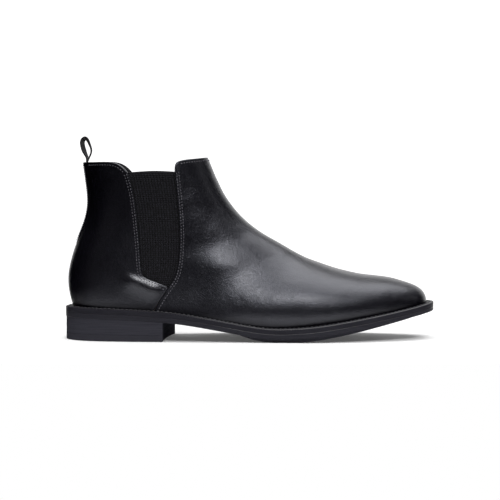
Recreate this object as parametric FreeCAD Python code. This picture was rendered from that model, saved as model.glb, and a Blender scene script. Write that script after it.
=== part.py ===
"""Right-foot chelsea boot, built in millimetres. +X points to the toe, -Y is the outer (lateral) side and
+Z is up. The origin is on the floor, under the middle of the boot's bounding box.

The shape comes from one lines plan of the last: a row of inclined cross-sections, each spanned between a
point on the ridge (shaft front, instep, toe) and a point on the back or the bottom. Every leather, lining
and stiffener layer is a shell between two insets of that surface, cut by outlines drawn in side view.
"""

import FreeCAD, Part
import math
import os

Vec = FreeCAD.Vector

# ---- driving dimensions ---------------------------------------------------------------------------
UPPER = 1.3            # upper leather thickness
MID_LAYER = 1.0        # elastic, interlinings, toe puff and heel counter share this layer
LINING = 1.0           # lining thickness
STRIP = 0.8            # leather strip over the back seam
STRIP_WIDTH = 11.0
STRIP_FOOT = 79.0      # height of the strip's lower end
THREAD = 0.4           # how far sewn thread stands proud
STITCH_WIDTH = 0.7     # width of a line of stitching

WELT = 4.4             # welt thickness
OUTSOLE = 4.2          # outsole thickness
TOE_THINNING = 1.2     # the outsole is this much thinner at the toe
BOARD = 2.2            # insole board
FOAM = 2.0             # heel foam under the sock
SOCK = 1.0             # sock lining
WELT_INSIDE = 9.0      # how far the welt reaches in under the upper
WELT_STITCH_OUT = 3.2  # welt stitching, measured out from the upper

TOP_PIECE = 5.5        # rubber heel top piece
LIFT = 4.3             # one leather heel lift
HEEL_INSET = 0.4       # heel stack stands this far inside the outsole edge
BREAST_LATERAL = -70.5  # X of the heel's front face at the outer side
BREAST_MEDIAL = -61.5   # and at the inner side
BREAST_HOLLOW = 3.0     # how deep that face is hollowed
NAIL_R, NAIL_HEAD_R, NAIL_HEAD = 1.0, 1.9, 0.8
HEEL_NAILS = [(-138, 0), (-126, -17), (-126, 16), (-106, -22), (-106, 21), (-84, -20), (-84, 20)]
TOP_NAILS = [(-142, 0), (-131, -19), (-131, 18), (-112, -25), (-112, 24), (-90, -26), (-90, 26)]

TREAD_INSET = 3.0      # forepart tread stands this far inside the outsole edge
TREAD_ENDS = (-8.0, 131.0)

SHANK_ENDS = (-112.0, -22.0)
SHANK_Y, SHANK_WIDTH, SHANK_THICK, SHANK_DEPTH = -2.0, 14.0, 1.4, 0.4
RIVET_X = (-104.0, -32.0)
RIVET_R = 2.0
RIVET_RISE = 1.0       # rivets start this far above the welt's underside
NAIL_RISE = 1.5        # heel nails start this far above the top piece
FOAM_ENDS = (-90.0, -58.0)  # heel foam thins out between these places

CUT_GAP = 0.1          # gap between pieces that meet edge to edge
SEWN_MARGIN = 7.0      # elastic runs this far under the leather around it
LINING_WINDOW = 1.0    # lining is cut back this far around the elastic
FIRST_ROW, SECOND_ROW = 1.5, 3.7   # stitch rows, measured from a cut edge
TOP_ROW = 2.6          # stitch row below the topline
SEAM_ROW = 3.0         # stitch row ahead of the side seam
STRIP_ROW = 1.3        # stitch rows inside the back strip's edges
LINING_DROP = 0.5      # lining stops this far below the topline
BACKER_DROP = 3.5      # interlinings stop this far below the topline
PIN_SINK = 0.5         # rivet and nail heads sit this far below the insole board's face

TAPE, TAPE_WIDTH = 1.1, 8.0
TAIL_LENGTH = 14.0
LOOP_PIVOT = (-135.5, 147.6)   # x, z of the fold where the pull loop leaves the collar
FOLD_CLEARANCE = 0.4

SIDE = 90.0            # half depth of the side-view cutting prisms
SKY = 220.0            # height of the tallest cutting prism
FAR = 175.0            # X reach of the widest cutting prism

# ---- lines plan of the last ------------------------------------------------------------------------
# ridge x, z | back or bottom x, z | half width | fullness | height of the widest point | centre line
# offset at the ridge and at the bottom
LAST = [
    (-39.5, 160.0, -140.2, 158.0, 29.0, 0.00, 0.00, 0.0, 0.0),
    (-33.6, 146.6, -137.3, 145.4, 29.2, 0.00, 0.00, 0.0, 0.0),
    (-27.5, 132.0, -135.0, 129.0, 29.8, 0.00, 0.00, 0.3, 0.0),
    (-20.8, 118.6, -133.7, 113.0, 30.6, 0.00, 0.00, 0.8, 0.0),
    (-13.8, 108.4, -136.3, 98.0, 31.4, 0.00, 0.00, 1.4, 0.0),
    (-6.8, 100.4, -141.9, 83.5, 32.2, 0.01, 0.00, 2.0, 0.0),
    (0.2, 94.2, -147.2, 68.0, 32.8, 0.03, 0.01, 2.6, 0.0),
    (7.2, 88.8, -150.4, 51.0, 33.2, 0.05, 0.02, 3.2, 0.0),
    (14.2, 84.0, -148.3, 33.5, 33.6, 0.07, 0.03, 3.6, -0.3),
    (21.4, 79.5, -140.2, 15.0, 34.0, 0.07, 0.03, 3.8, -0.9),
    (29.0, 75.0, -123.0, 2.0, 34.8, 0.05, 0.02, 3.8, -2.2),
    (37.5, 70.6, -98.0, -5.0, 36.4, 0.03, 0.00, 3.6, -4.2),
    (46.5, 66.6, -63.0, -8.0, 39.2, 0.01, -0.01, 3.2, -5.0),
    (56.0, 63.1, -26.0, -11.0, 42.8, 0.00, -0.01, 2.8, -3.6),
    (66.0, 59.6, 8.0, -13.5, 45.2, 0.00, -0.01, 2.6, -1.2),
    (78.0, 56.2, 38.0, -13.0, 45.2, 0.00, 0.00, 2.6, 0.6),
    (91.0, 53.4, 64.0, -10.5, 42.2, 0.00, 0.00, 2.8, 1.8),
    (104.0, 51.9, 86.0, -7.0, 37.4, 0.00, 0.00, 3.0, 2.6),
    (117.0, 49.9, 103.0, -2.5, 32.2, 0.01, 0.00, 3.3, 3.2),
    (129.0, 46.6, 115.0, 2.0, 27.4, 0.02, 0.00, 3.6, 3.6),
    (138.5, 42.6, 121.0, 6.0, 23.4, 0.02, 0.00, 3.9, 3.9),
    (144.3, 37.4, 124.5, 9.5, 19.8, 0.02, 0.00, 4.0, 4.0),
    (146.4, 31.0, 127.5, 12.5, 16.4, 0.01, 0.00, 4.0, 4.0),
    (145.8, 24.0, 130.0, 14.5, 12.6, 0.00, 0.00, 4.0, 4.0),
]
CENTRE_Y = -1.3        # plane of the back seam; the sole's box is then centred on Y = 0
SECTION_POINTS = 32

# Side view of the bottom: the welt's top face and the tread's running face.
SEAT = [(-175, 27.6), (-152.4, 27.2), (-122, 26.7), (-95, 25.8), (-77.5, 24.8), (-56, 22.7), (-40, 20.3),
        (-27, 18.1), (-14, 15.8), (-1, 13.5), (12, 11.8), (24.5, 11.3), (37, 11.8), (50, 12.8),
        (63, 14.4), (89, 18.5), (116, 23.3), (143.8, 29.0), (175, 35.6)]
TREAD_REAR = [(20, 0), (12, 0.4), (2, 2.3), (-10, 6.3)]
TREAD_FORE = [(36, 0), (44, 0.3), (58, 2.1), (75, 5.3), (90, 8.4), (107, 12.3), (125, 16.7), (136, 19.6)]

# Welt edge beyond the upper's feather line, along X.
WELT_REACH = [(-150, 6.3), (-142, 5.6), (-132, 4.3), (-115, 3.7), (-60, 3.8), (-20, 4.6), (30, 5.2),
              (100, 5.3), (135, 5.6), (150, 5.9)]

# Side-view outlines of the upper.
GORE_BACK = [(-99.3, 137.2), (-96.6, 128.7), (-94.6, 120.0), (-92.1, 102.8), (-90.1, 83.9), (-88.7, 65.0),
             (-87.9, 57.0), (-86.6, 53.4), (-83.6, 51.2), (-76.5, 48.4), (-66.0, 44.0)]
GORE_FRONT = [(-66.0, 44.0), (-62.2, 49.8), (-59.2, 58.0), (-57.3, 72.9), (-57.0, 84.0), (-57.8, 104.3),
              (-59.2, 120.0), (-61.0, 137.4)]
GORE_TOP = [(-99.3, 137.2), (-80.0, 138.2), (-61.0, 137.4)]
VAMP_TOP = [(-61.0, 137.4), (-60.9, 142.2), (-59.6, 145.2), (-55.6, 147.0), (-45.0, 148.4), (-20.0, 151.2)]
QUARTER_TOP = [(-150.0, 145.7), (-125.0, 145.7), (-114.0, 145.6), (-108.0, 144.2), (-103.0, 141.0),
               (-99.3, 137.2)]
SIDE_SEAM = [(-80.5, 20.0), (-72.6, 34.5), (-66.0, 44.0)]
PUFF_BACK = [(97.0, 80.0), (102.0, 50.0), (99.0, 32.0), (90.0, 5.0)]
COUNTER_TOP = [(-175.0, 77.0), (-140.0, 74.0), (-115.0, 60.0), (-98.0, 45.0), (-84.0, 36.5), (-70.0, 29.5),
               (-60.0, 20.0)]

# Outer outline of the pull loop in side view, from its fold.
LOOP = [(-1.1, 0), (-3.3, 4.3), (-5.1, 10.2), (-5.5, 14.0), (-4.2, 17.9), (-1.0, 19.6), (1.3, 18.6),
        (3.0, 14.9), (4.3, 10.2), (4.8, 7.3), (3.6, 3.9), (1.1, 0)]


# ---- curves ----------------------------------------------------------------------------------------
def second_derivatives(values):
    """Second derivatives of the natural cubic spline through equally spaced values."""
    n = len(values)
    upper, rhs = [0.0] * n, [0.0] * n
    for i in range(1, n - 1):
        pivot = 4.0 - upper[i - 1]
        upper[i] = 1.0 / pivot
        rhs[i] = (6.0 * (values[i - 1] - 2 * values[i] + values[i + 1]) - rhs[i - 1]) / pivot
    out = [0.0] * n
    for i in range(n - 2, 0, -1):
        out[i] = rhs[i] - upper[i] * out[i + 1]
    return out


COLUMNS = list(zip(*LAST))
BENDS = [second_derivatives(c) for c in COLUMNS]


def station(t):
    """The last's nine measures at place t, where t counts the rows of LAST."""
    i = min(int(t), len(LAST) - 2)
    f = t - i
    g = 1.0 - f
    return [g * c[i] + f * c[i + 1] + ((g ** 3 - g) * m[i] + (f ** 3 - f) * m[i + 1]) / 6.0
            for c, m in zip(COLUMNS, BENDS)]


def last_point(t, phi, inset=0.0):
    """A point of the last's surface, moved inwards by inset within its own section plane."""
    ridge_x, ridge_z, low_x, low_z, half, full, rise, c_ridge, c_low = station(t)
    length = math.hypot(low_x - ridge_x, low_z - ridge_z)
    s = 0.5 * (1 - math.cos(phi)) + rise * math.sin(phi) ** 2
    y = c_ridge * (1 - s) + c_low * s - half * (math.sin(phi) + full * math.sin(3 * phi)) / (1 - full)
    ds = 0.5 * math.sin(phi) + rise * math.sin(2 * phi)
    dy = (c_low - c_ridge) * ds - half * (math.cos(phi) + 3 * full * math.cos(3 * phi)) / (1 - full)
    dr = ds * length
    size = math.hypot(dr, dy)
    r = s * length - inset * dy / size
    y = y + inset * dr / size + CENTRE_Y
    ux, uz = (low_x - ridge_x) / length, (low_z - ridge_z) / length
    return Vec(ridge_x + ux * r, y, ridge_z + uz * r)


def smooth(points):
    """The smooth curve through side-view points (x, z)."""
    curve = Part.BSplineCurve()
    curve.interpolate([Vec(x, 0, z) for x, z in points])
    return curve


def segment(a, b):
    return Part.LineSegment(Vec(a[0], 0, a[1]), Vec(b[0], 0, b[1])).toShape()


def beside(points, distance):
    """The smooth curve through points, moved to the right of its direction (to the left when negative)."""
    fine = [(v.x, v.z) for v in smooth(points).discretize(Number=3 * len(points))]
    moved = []
    for i, (x, z) in enumerate(fine):
        (x0, z0), (x1, z1) = fine[max(i - 1, 0)], fine[min(i + 1, len(fine) - 1)]
        size = math.hypot(x1 - x0, z1 - z0)
        moved.append((x + distance * (z1 - z0) / size, z - distance * (x1 - x0) / size))
    return moved


def lifted(points, rise):
    """Side-view points moved up by rise(x), or by the number rise."""
    return [(x, z + (rise(x) if callable(rise) else rise)) for x, z in points]


def at(points, x):
    """Height of a side-view line at x, straight between its points."""
    for (x0, z0), (x1, z1) in zip(points, points[1:]):
        if x0 <= x <= x1:
            return z0 + (z1 - z0) * (x - x0) / (x1 - x0)
    return points[0][1] if x < points[0][0] else points[-1][1]


def ramp(x, start, end):
    """0 before start, 1 after end and a straight rise between."""
    return min(max((x - start) / (end - start), 0.0), 1.0)


def region(*curves):
    """A side-view face inside curves that follow each other, with straight edges where they don't meet."""
    edges = []
    for points, following in zip(curves, curves[1:] + curves[:1]):
        edges.append(segment(*points) if len(points) == 2 else smooth(points).toShape())
        if math.dist(points[-1], following[0]) > 1e-6:
            edges.append(segment(points[-1], following[0]))
    return Part.Face(Part.Wire(edges))


def prism(*curves):
    """A side-view region made solid, from one side of the boot to the other."""
    face = region(*curves)
    face.translate(Vec(0, -SIDE, 0))
    return face.extrude(Vec(0, 2 * SIDE, 0))


def between(lower, upper):
    """A solid between two side-view lines that both run from the heel to the toe."""
    return prism(lower, upper[::-1])


# ---- shells of the upper ---------------------------------------------------------------------------
def section_poles(t, inset):
    """Control points of the closed section at place t."""
    curve = Part.BSplineCurve()
    points = [last_point(t, 2 * math.pi * i / SECTION_POINTS, inset) for i in range(SECTION_POINTS)]
    curve.interpolate(points, PeriodicFlag=True, Parameters=[float(i) for i in range(SECTION_POINTS + 1)])
    return curve


def skin(inset):
    """The last's side surface at an inset, open at both ends, and its two end edges."""
    around = [section_poles(float(t), inset) for t in range(len(LAST))]
    rows = [c.getPoles() for c in around]
    along = []
    for j in range(len(rows[0])):
        curve = Part.BSplineCurve()
        curve.interpolate([row[j] for row in rows], Parameters=[float(i) for i in range(len(LAST))])
        along.append(curve)
    surface = Part.BSplineSurface()
    surface.buildFromPolesMultsKnots([c.getPoles() for c in along], around[0].getMultiplicities(),
                                     along[0].getMultiplicities(), around[0].getKnots(), along[0].getKnots(),
                                     True, False, 3, 3)
    face = surface.toShape()
    rings = [e for e in face.Edges if e.isClosed()]
    return face, max(rings, key=lambda e: e.CenterOfMass.z), max(rings, key=lambda e: e.CenterOfMass.x)


SKINS = {}


def skin_at(inset):
    if inset not in SKINS:
        SKINS[inset] = skin(inset)
    return SKINS[inset]


def layer(outer, inner):
    """The solid between two insets of the last."""
    (out_face, out_top, out_toe), (in_face, in_top, in_toe) = skin_at(outer), skin_at(inner)
    top = Part.Face([Part.Wire(out_top), Part.Wire(in_top)])
    toe = Part.Face([Part.Wire(out_toe), Part.Wire(in_toe)])
    shell = Part.makeShell([out_face, in_face, top, toe])
    shell.sewShape()
    return oriented(Part.Solid(shell))


def core(inset):
    """Everything inside an inset of the last."""
    face, top, toe = skin_at(inset)
    shell = Part.makeShell([face, Part.Face(Part.Wire(top)), Part.Face(Part.Wire(toe))])
    shell.sewShape()
    return oriented(Part.Solid(shell))


def oriented(solid):
    if solid.Volume < 0:
        solid.reverse()
    solid.fix(1e-5, 1e-5, 1e-4)
    return solid


SIDES = ("lateral", "medial")


def sides(solid):
    """The lateral and medial parts of a shape on either side of the back seam's plane."""
    low = Part.makeBox(2 * FAR, SIDE, 2 * SKY, Vec(-FAR, CENTRE_Y - CUT_GAP / 2 - SIDE, -SKY))
    high = Part.makeBox(2 * FAR, SIDE, 2 * SKY, Vec(-FAR, CENTRE_Y + CUT_GAP / 2, -SKY))
    return solid.common(low), solid.common(high)


# ---- side-view cutters -----------------------------------------------------------------------------
CEILING = [(FAR, SKY), (-FAR, SKY)]
FLOOR = [(FAR, -SKY), (-FAR, -SKY)]
ABOVE_SEAT = prism(SEAT, CEILING)


def below_topline(drop):
    """Everything under the topline, lowered by drop."""
    top = [lifted(c, -drop) for c in (QUARTER_TOP, GORE_TOP, VAMP_TOP)]
    front = [(FAR, at(top[-1], FAR)), (FAR, -SKY)]
    rear = [(-FAR, -SKY), (-FAR, QUARTER_TOP[0][1] - drop)]
    return prism(*top, front, rear)


def ahead_of_seam(gap):
    """Everything ahead of the vamp's rear edge, moved forward by gap."""
    rear = beside(SIDE_SEAM + GORE_FRONT[1:], gap)
    return prism(rear, [(rear[-1][0], SKY), (FAR, SKY)], [(FAR, -SKY), (rear[0][0], -SKY)])


def gore_zone(back, front, head):
    """The elastic's window grown by back and front across its edges, and by head above its top."""
    return prism(beside(GORE_BACK, back), beside(GORE_FRONT, front), lifted(GORE_TOP, head)[::-1])


def puff_zone(grow):
    """Everything ahead of the toe puff's rear edge, grown backwards."""
    return prism([(x - grow, z) for x, z in PUFF_BACK], [(FAR, -SKY), (FAR, SKY)])


def counter_zone(grow):
    """Everything below the heel counter's top edge, grown upwards."""
    return prism(lifted(COUNTER_TOP, grow), [(COUNTER_TOP[-1][0], -SKY), (-FAR, -SKY)])


def stitch_line(points, distance):
    """A narrow side-view strip for one row of stitching beside a curve."""
    near = beside(points, distance - STITCH_WIDTH / 2)
    far = beside(points, distance + STITCH_WIDTH / 2)
    return prism(near, far[::-1])


# ---- plan outlines ---------------------------------------------------------------------------------
def feather_line():
    """Plan points around the edge where the upper meets the welt."""
    standing = core(0.0).common(ABOVE_SEAT)
    foot = min(standing.Faces, key=lambda f: f.CenterOfMass.z)
    points = [(v.x, v.y) for v in foot.OuterWire.discretize(Number=97)[:-1]]
    area = sum(x0 * y1 - x1 * y0 for (x0, y0), (x1, y1) in zip(points, points[1:] + points[:1]))
    return points if area > 0 else points[::-1]


FEATHER = feather_line()


def plan_curve(reach):
    """A closed curve in plan, reach(x) or the number reach outside the feather line."""
    points = []
    for (x0, y0), (x, y), (x1, y1) in zip(FEATHER[-2:] + FEATHER[:-2], FEATHER, FEATHER[2:] + FEATHER[:2]):
        size = math.hypot(x1 - x0, y1 - y0)
        out = reach(x) if callable(reach) else reach
        points.append(Vec(x + out * (y1 - y0) / size, y - out * (x1 - x0) / size, -SKY))
    curve = Part.BSplineCurve()
    curve.interpolate(points[::2], PeriodicFlag=True)
    return Part.Wire(curve.toShape())


def column(reach):
    """An upright solid inside a plan curve."""
    return Part.Face(plan_curve(reach)).extrude(Vec(0, 0, 2 * SKY))


def sole_edge(inset):
    return lambda x: at(WELT_REACH, x) - inset


def post(x, y, radius, low, high):
    return Part.makeCylinder(radius, high - low, Vec(x, y, low))


def nail(x, y, low, high, head):
    """A nail's shank, and its head from a height head upwards."""
    return post(x, y, NAIL_R, low, high).fuse(post(x, y, NAIL_HEAD_R, head, head + NAIL_HEAD))


def slab(low, high, x_ends=(-FAR, FAR), y_ends=(-SIDE, SIDE)):
    """A box between two heights."""
    corner = Vec(x_ends[0], y_ends[0], low)
    return Part.makeBox(x_ends[1] - x_ends[0], y_ends[1] - y_ends[0], high - low, corner)


# ---- build -----------------------------------------------------------------------------------------
DEEP = UPPER + MID_LAYER
INSIDE = DEEP + LINING
WELT_LINE = lifted(SEAT, -WELT)
OUTSOLE_LINE = lifted(SEAT, lambda x: -WELT - OUTSOLE + TOE_THINNING * ramp(x, 60, 145))
BOARD_LINE = lifted(SEAT, BOARD)
FOAM_LINE = lifted(SEAT, lambda x: BOARD + FOAM * (1 - ramp(x, *FOAM_ENDS)))
STRIP_ZONE = slab(STRIP_FOOT, QUARTER_TOP[0][1] - LINING_DROP, (-FAR, -100),
                  (CENTRE_Y - STRIP_WIDTH / 2, CENTRE_Y + STRIP_WIDTH / 2))


def save(name, shape):
    """Write one node: one closed solid, or a group of like pieces."""
    solids = shape.Solids
    node = solids[0] if len(solids) == 1 else Part.makeCompound(solids)
    node.exportStep("parts/%s.step" % name)


def build_leather():
    leather = layer(0.0, UPPER).common(ABOVE_SEAT).common(below_topline(0.0))
    save("vamp", leather.common(ahead_of_seam(CUT_GAP / 2)))
    quarters = leather.cut(ahead_of_seam(-CUT_GAP / 2)).cut(gore_zone(0.0, SEWN_MARGIN, SEWN_MARGIN))
    for side, quarter in zip(SIDES, sides(quarters)):
        save(side + "_quarter", quarter)
    save("back_strip", layer(-STRIP, 0.0).common(STRIP_ZONE))


def build_middle_layer():
    """Elastic, stiffeners and interlinings, all between the leather and the lining."""
    sheet = layer(UPPER, DEEP)
    for side, gore in zip(SIDES, sides(sheet.common(gore_zone(SEWN_MARGIN, SEWN_MARGIN, 0.0)))):
        save(side + "_gore", gore)
    tail = slab(LOOP_PIVOT[1] - TAPE - FOLD_CLEARANCE - TAIL_LENGTH, LOOP_PIVOT[1] - TAPE - FOLD_CLEARANCE,
                (-FAR, -100), (CENTRE_Y - TAPE_WIDTH / 2, CENTRE_Y + TAPE_WIDTH / 2))
    save("pull_loop_tail", sheet.common(tail))
    notch = slab(LOOP_PIVOT[1] - TAPE - FOLD_CLEARANCE - TAIL_LENGTH - CUT_GAP, SKY, (-FAR, -100),
                 (CENTRE_Y - TAPE_WIDTH / 2 - CUT_GAP, CENTRE_Y + TAPE_WIDTH / 2 + CUT_GAP))

    sheet = sheet.common(ABOVE_SEAT).common(below_topline(BACKER_DROP))
    save("toe_puff", sheet.common(puff_zone(0.0)))
    save("heel_counter", sheet.common(counter_zone(0.0)))
    rest = sheet.cut(gore_zone(SEWN_MARGIN + CUT_GAP, SEWN_MARGIN + CUT_GAP, SEWN_MARGIN))
    rest = rest.cut(puff_zone(CUT_GAP)).cut(counter_zone(CUT_GAP)).cut(notch)
    save("vamp_interlining", rest.common(ahead_of_seam(CUT_GAP / 2)))
    save("quarter_interlining", rest.cut(ahead_of_seam(-CUT_GAP / 2)))


def build_lining():
    sheet = layer(DEEP, INSIDE).common(ABOVE_SEAT).common(below_topline(LINING_DROP))
    sheet = sheet.cut(gore_zone(LINING_WINDOW, LINING_WINDOW, SEWN_MARGIN))
    save("vamp_lining", sheet.common(ahead_of_seam(CUT_GAP / 2)))
    save("quarter_lining", sheet.cut(ahead_of_seam(-CUT_GAP / 2)))


def build_footbed_and_shank(nails):
    room = core(INSIDE)
    rivets = []
    for x in RIVET_X:
        foot = at(SEAT, x) - WELT + RIVET_RISE
        rivets.append(post(x, SHANK_Y, RIVET_R, foot, at(SEAT, x) + BOARD - PIN_SINK))
    rivets = Part.makeCompound(rivets)
    save("shank_rivets", rivets)
    board = room.common(between(SEAT, BOARD_LINE))
    save("insole_board", board.cut(rivets).cut(nails))
    foam = room.common(prism(BOARD_LINE, CEILING)).common(prism(FOAM_LINE, FLOOR))
    save("heel_pad", foam.common(slab(-SKY, SKY, (-FAR, FOAM_ENDS[1] - 5))))
    save("insock", room.common(between(FOAM_LINE, lifted(FOAM_LINE, SOCK))))

    strip = between(lifted(SEAT, -SHANK_DEPTH - SHANK_THICK), lifted(SEAT, -SHANK_DEPTH))
    shank = strip.common(slab(-SKY, SKY, SHANK_ENDS, (SHANK_Y - SHANK_WIDTH / 2, SHANK_Y + SHANK_WIDTH / 2)))
    save("shank", shank.cut(rivets))
    filler = column(-WELT_INSIDE - CUT_GAP).common(between(WELT_LINE, SEAT))
    save("bottom_filler", filler.cut(shank).cut(rivets).cut(nails))


def build_sole(nails, top_nails):
    edge = column(sole_edge(0.0))
    save("welt", edge.cut(column(-WELT_INSIDE)).common(between(WELT_LINE, SEAT)).cut(nails))
    save("outsole", edge.common(between(OUTSOLE_LINE, WELT_LINE)).cut(nails))

    under = prism(OUTSOLE_LINE, FLOOR)
    front = [(FAR, TREAD_FORE[-1][1]), (FAR, SKY)]
    tread = prism(TREAD_REAR[::-1], TREAD_FORE, front, [(-FAR, SKY), TREAD_REAR[-1]])
    tread = column(sole_edge(TREAD_INSET)).common(tread).common(under).common(slab(0, SKY, TREAD_ENDS))
    save("forepart_tread", tread)

    lateral, medial = Vec(BREAST_LATERAL, -SIDE / 2, 0), Vec(BREAST_MEDIAL, SIDE / 2, 0)
    hollow = Vec((BREAST_LATERAL + BREAST_MEDIAL) / 2 - BREAST_HOLLOW, 0, 0)
    breast = Part.Arc(lateral, hollow, medial).toShape()
    rear = Part.makePolygon([medial, Vec(-FAR, SIDE / 2, 0), Vec(-FAR, -SIDE / 2, 0), lateral])
    behind_breast = Part.Face(Part.Wire([breast] + rear.Edges)).extrude(Vec(0, 0, SKY))
    stack = column(sole_edge(HEEL_INSET)).common(behind_breast).common(under)
    levels = [0.0, TOP_PIECE, TOP_PIECE + LIFT, TOP_PIECE + 2 * LIFT, SKY]
    names = ["heel_top_piece", "heel_lift_lower", "heel_lift_middle", "heel_lift_upper"]
    for name, low, high in zip(names, levels, levels[1:]):
        save(name, stack.common(slab(low, high)).cut(nails).cut(top_nails))


def build_stitching():
    thread = layer(-THREAD, 0.0).common(ABOVE_SEAT)
    low = thread.common(below_topline(TOP_ROW + 2))
    rows = []
    for distance in (FIRST_ROW, SECOND_ROW):
        rows.append(low.common(stitch_line(GORE_BACK, distance)).cut(ahead_of_seam(-CUT_GAP)))
        rows.append(low.common(stitch_line(GORE_FRONT, distance)))
    halves = [sides(row) for row in rows]
    for side, pieces in zip(SIDES, zip(*halves)):
        save(side + "_gore_stitching", Part.makeCompound(list(pieces)))
    seam = low.common(stitch_line(SIDE_SEAM, SEAM_ROW))
    save("side_seam_stitching", Part.makeCompound(list(sides(seam))))
    top = [thread.common(stitch_line(VAMP_TOP[2:], TOP_ROW)),
           thread.common(stitch_line(QUARTER_TOP, TOP_ROW)).cut(STRIP_ZONE)]
    save("topline_stitching", Part.makeCompound(top))
    proud = layer(-STRIP - THREAD, -STRIP)
    strip_rows = []
    for side in (-1, 1):
        y = CENTRE_Y + side * (STRIP_WIDTH / 2 - STRIP_ROW)
        y_ends = (y - STITCH_WIDTH / 2, y + STITCH_WIDTH / 2)
        row = slab(STRIP_FOOT + STRIP_ROW, QUARTER_TOP[0][1] - STRIP_ROW, (-FAR, -100), y_ends)
        strip_rows.append(proud.common(row))
    save("back_strip_stitching", Part.makeCompound(strip_rows))
    ring = column(WELT_STITCH_OUT + STITCH_WIDTH / 2).cut(column(WELT_STITCH_OUT - STITCH_WIDTH / 2))
    save("welt_stitching", ring.common(between(SEAT, lifted(SEAT, THREAD))))


def build_pull_loop():
    """A teardrop of tape whose two ends meet in a round fold at the hinge."""
    fold = Part.Arc(Vec(LOOP[-1][0], 0, 0), Vec(0, 0, -TAPE), Vec(LOOP[0][0], 0, 0)).toShape()
    outer = Part.Face(Part.Wire([smooth(LOOP).toShape(), fold]))
    eye = region([p for p in beside(LOOP, TAPE) if p[1] > 2.4 * TAPE])
    loop = outer.cut(eye).extrude(Vec(0, TAPE_WIDTH, 0))
    loop.translate(Vec(LOOP_PIVOT[0], CENTRE_Y - TAPE_WIDTH / 2, LOOP_PIVOT[1]))
    save("pull_loop", loop)


def main():
    os.makedirs("parts", exist_ok=True)
    nails = []
    for x, y in HEEL_NAILS:
        top = at(SEAT, x) + BOARD - PIN_SINK
        nails.append(nail(x, y, TOP_PIECE + NAIL_RISE, top, top - NAIL_HEAD))
    top_nails = [nail(x, y, NAIL_HEAD, TOP_PIECE + LIFT, NAIL_HEAD) for x, y in TOP_NAILS]
    save("heel_nails", Part.makeCompound(nails))
    save("top_piece_nails", Part.makeCompound(top_nails))
    recesses = [post(x, y, NAIL_HEAD_R, -1.0, NAIL_HEAD) for x, y in TOP_NAILS]

    build_leather()
    build_middle_layer()
    build_lining()
    build_footbed_and_shank(Part.makeCompound(nails))
    build_sole(Part.makeCompound(nails), Part.makeCompound(top_nails + recesses))
    build_stitching()
    build_pull_loop()


main()
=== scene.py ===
import math

import bmesh
import bpy
import numpy as np
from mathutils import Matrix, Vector


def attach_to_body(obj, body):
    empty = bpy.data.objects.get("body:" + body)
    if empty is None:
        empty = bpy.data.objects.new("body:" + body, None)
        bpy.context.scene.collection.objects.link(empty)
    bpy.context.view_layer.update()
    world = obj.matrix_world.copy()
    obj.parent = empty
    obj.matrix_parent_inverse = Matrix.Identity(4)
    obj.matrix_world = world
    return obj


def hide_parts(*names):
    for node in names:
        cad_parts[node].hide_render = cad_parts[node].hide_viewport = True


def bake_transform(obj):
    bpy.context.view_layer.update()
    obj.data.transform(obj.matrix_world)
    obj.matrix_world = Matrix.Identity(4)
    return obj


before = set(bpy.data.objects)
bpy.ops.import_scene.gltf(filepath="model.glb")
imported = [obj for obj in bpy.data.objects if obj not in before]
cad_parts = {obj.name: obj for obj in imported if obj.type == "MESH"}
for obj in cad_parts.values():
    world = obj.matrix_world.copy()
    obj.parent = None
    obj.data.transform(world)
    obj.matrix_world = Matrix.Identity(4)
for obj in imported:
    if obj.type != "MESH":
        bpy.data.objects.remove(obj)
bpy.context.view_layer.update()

# The boot's skins are rebuilt here from the same lines plan as the CAD. Lengths are in millimetres until a
# mesh is made, and MM turns them into metres. The toe points to +x, the lateral side to -y and z is up.
MM = 0.001
PI = math.pi
LATERAL, MEDIAL = -1, 1
SIDES = ((LATERAL, "lateral"), (MEDIAL, "medial"))

# ---- dimensions shared with the CAD ----
UPPER, MID_LAYER, LINING = 1.3, 1.0, 1.0
DEEP = UPPER + MID_LAYER
INSIDE = DEEP + LINING
STRIP, STRIP_WIDTH, STRIP_FOOT, STRIP_TOP = 0.8, 11.0, 79.0, 145.2
WELT, OUTSOLE, TOE_THINNING = 4.4, 4.2, 1.2
BOARD, FOAM, SOCK = 2.2, 2.0, 1.0
FOAM_ENDS = (-90.0, -58.0)
TOP_PIECE, LIFT, HEEL_INSET = 5.5, 4.3, 0.4
BREAST_LATERAL, BREAST_MEDIAL, BREAST_HOLLOW = -70.5, -61.5, 3.0
TREAD_INSET, TREAD_ENDS = 3.0, (-8.0, 131.0)
CENTRE_Y = -1.3
TAPE, TAPE_WIDTH = 1.1, 8.0
SEAM_GAP = 0.05      # left beside each cut edge

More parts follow.
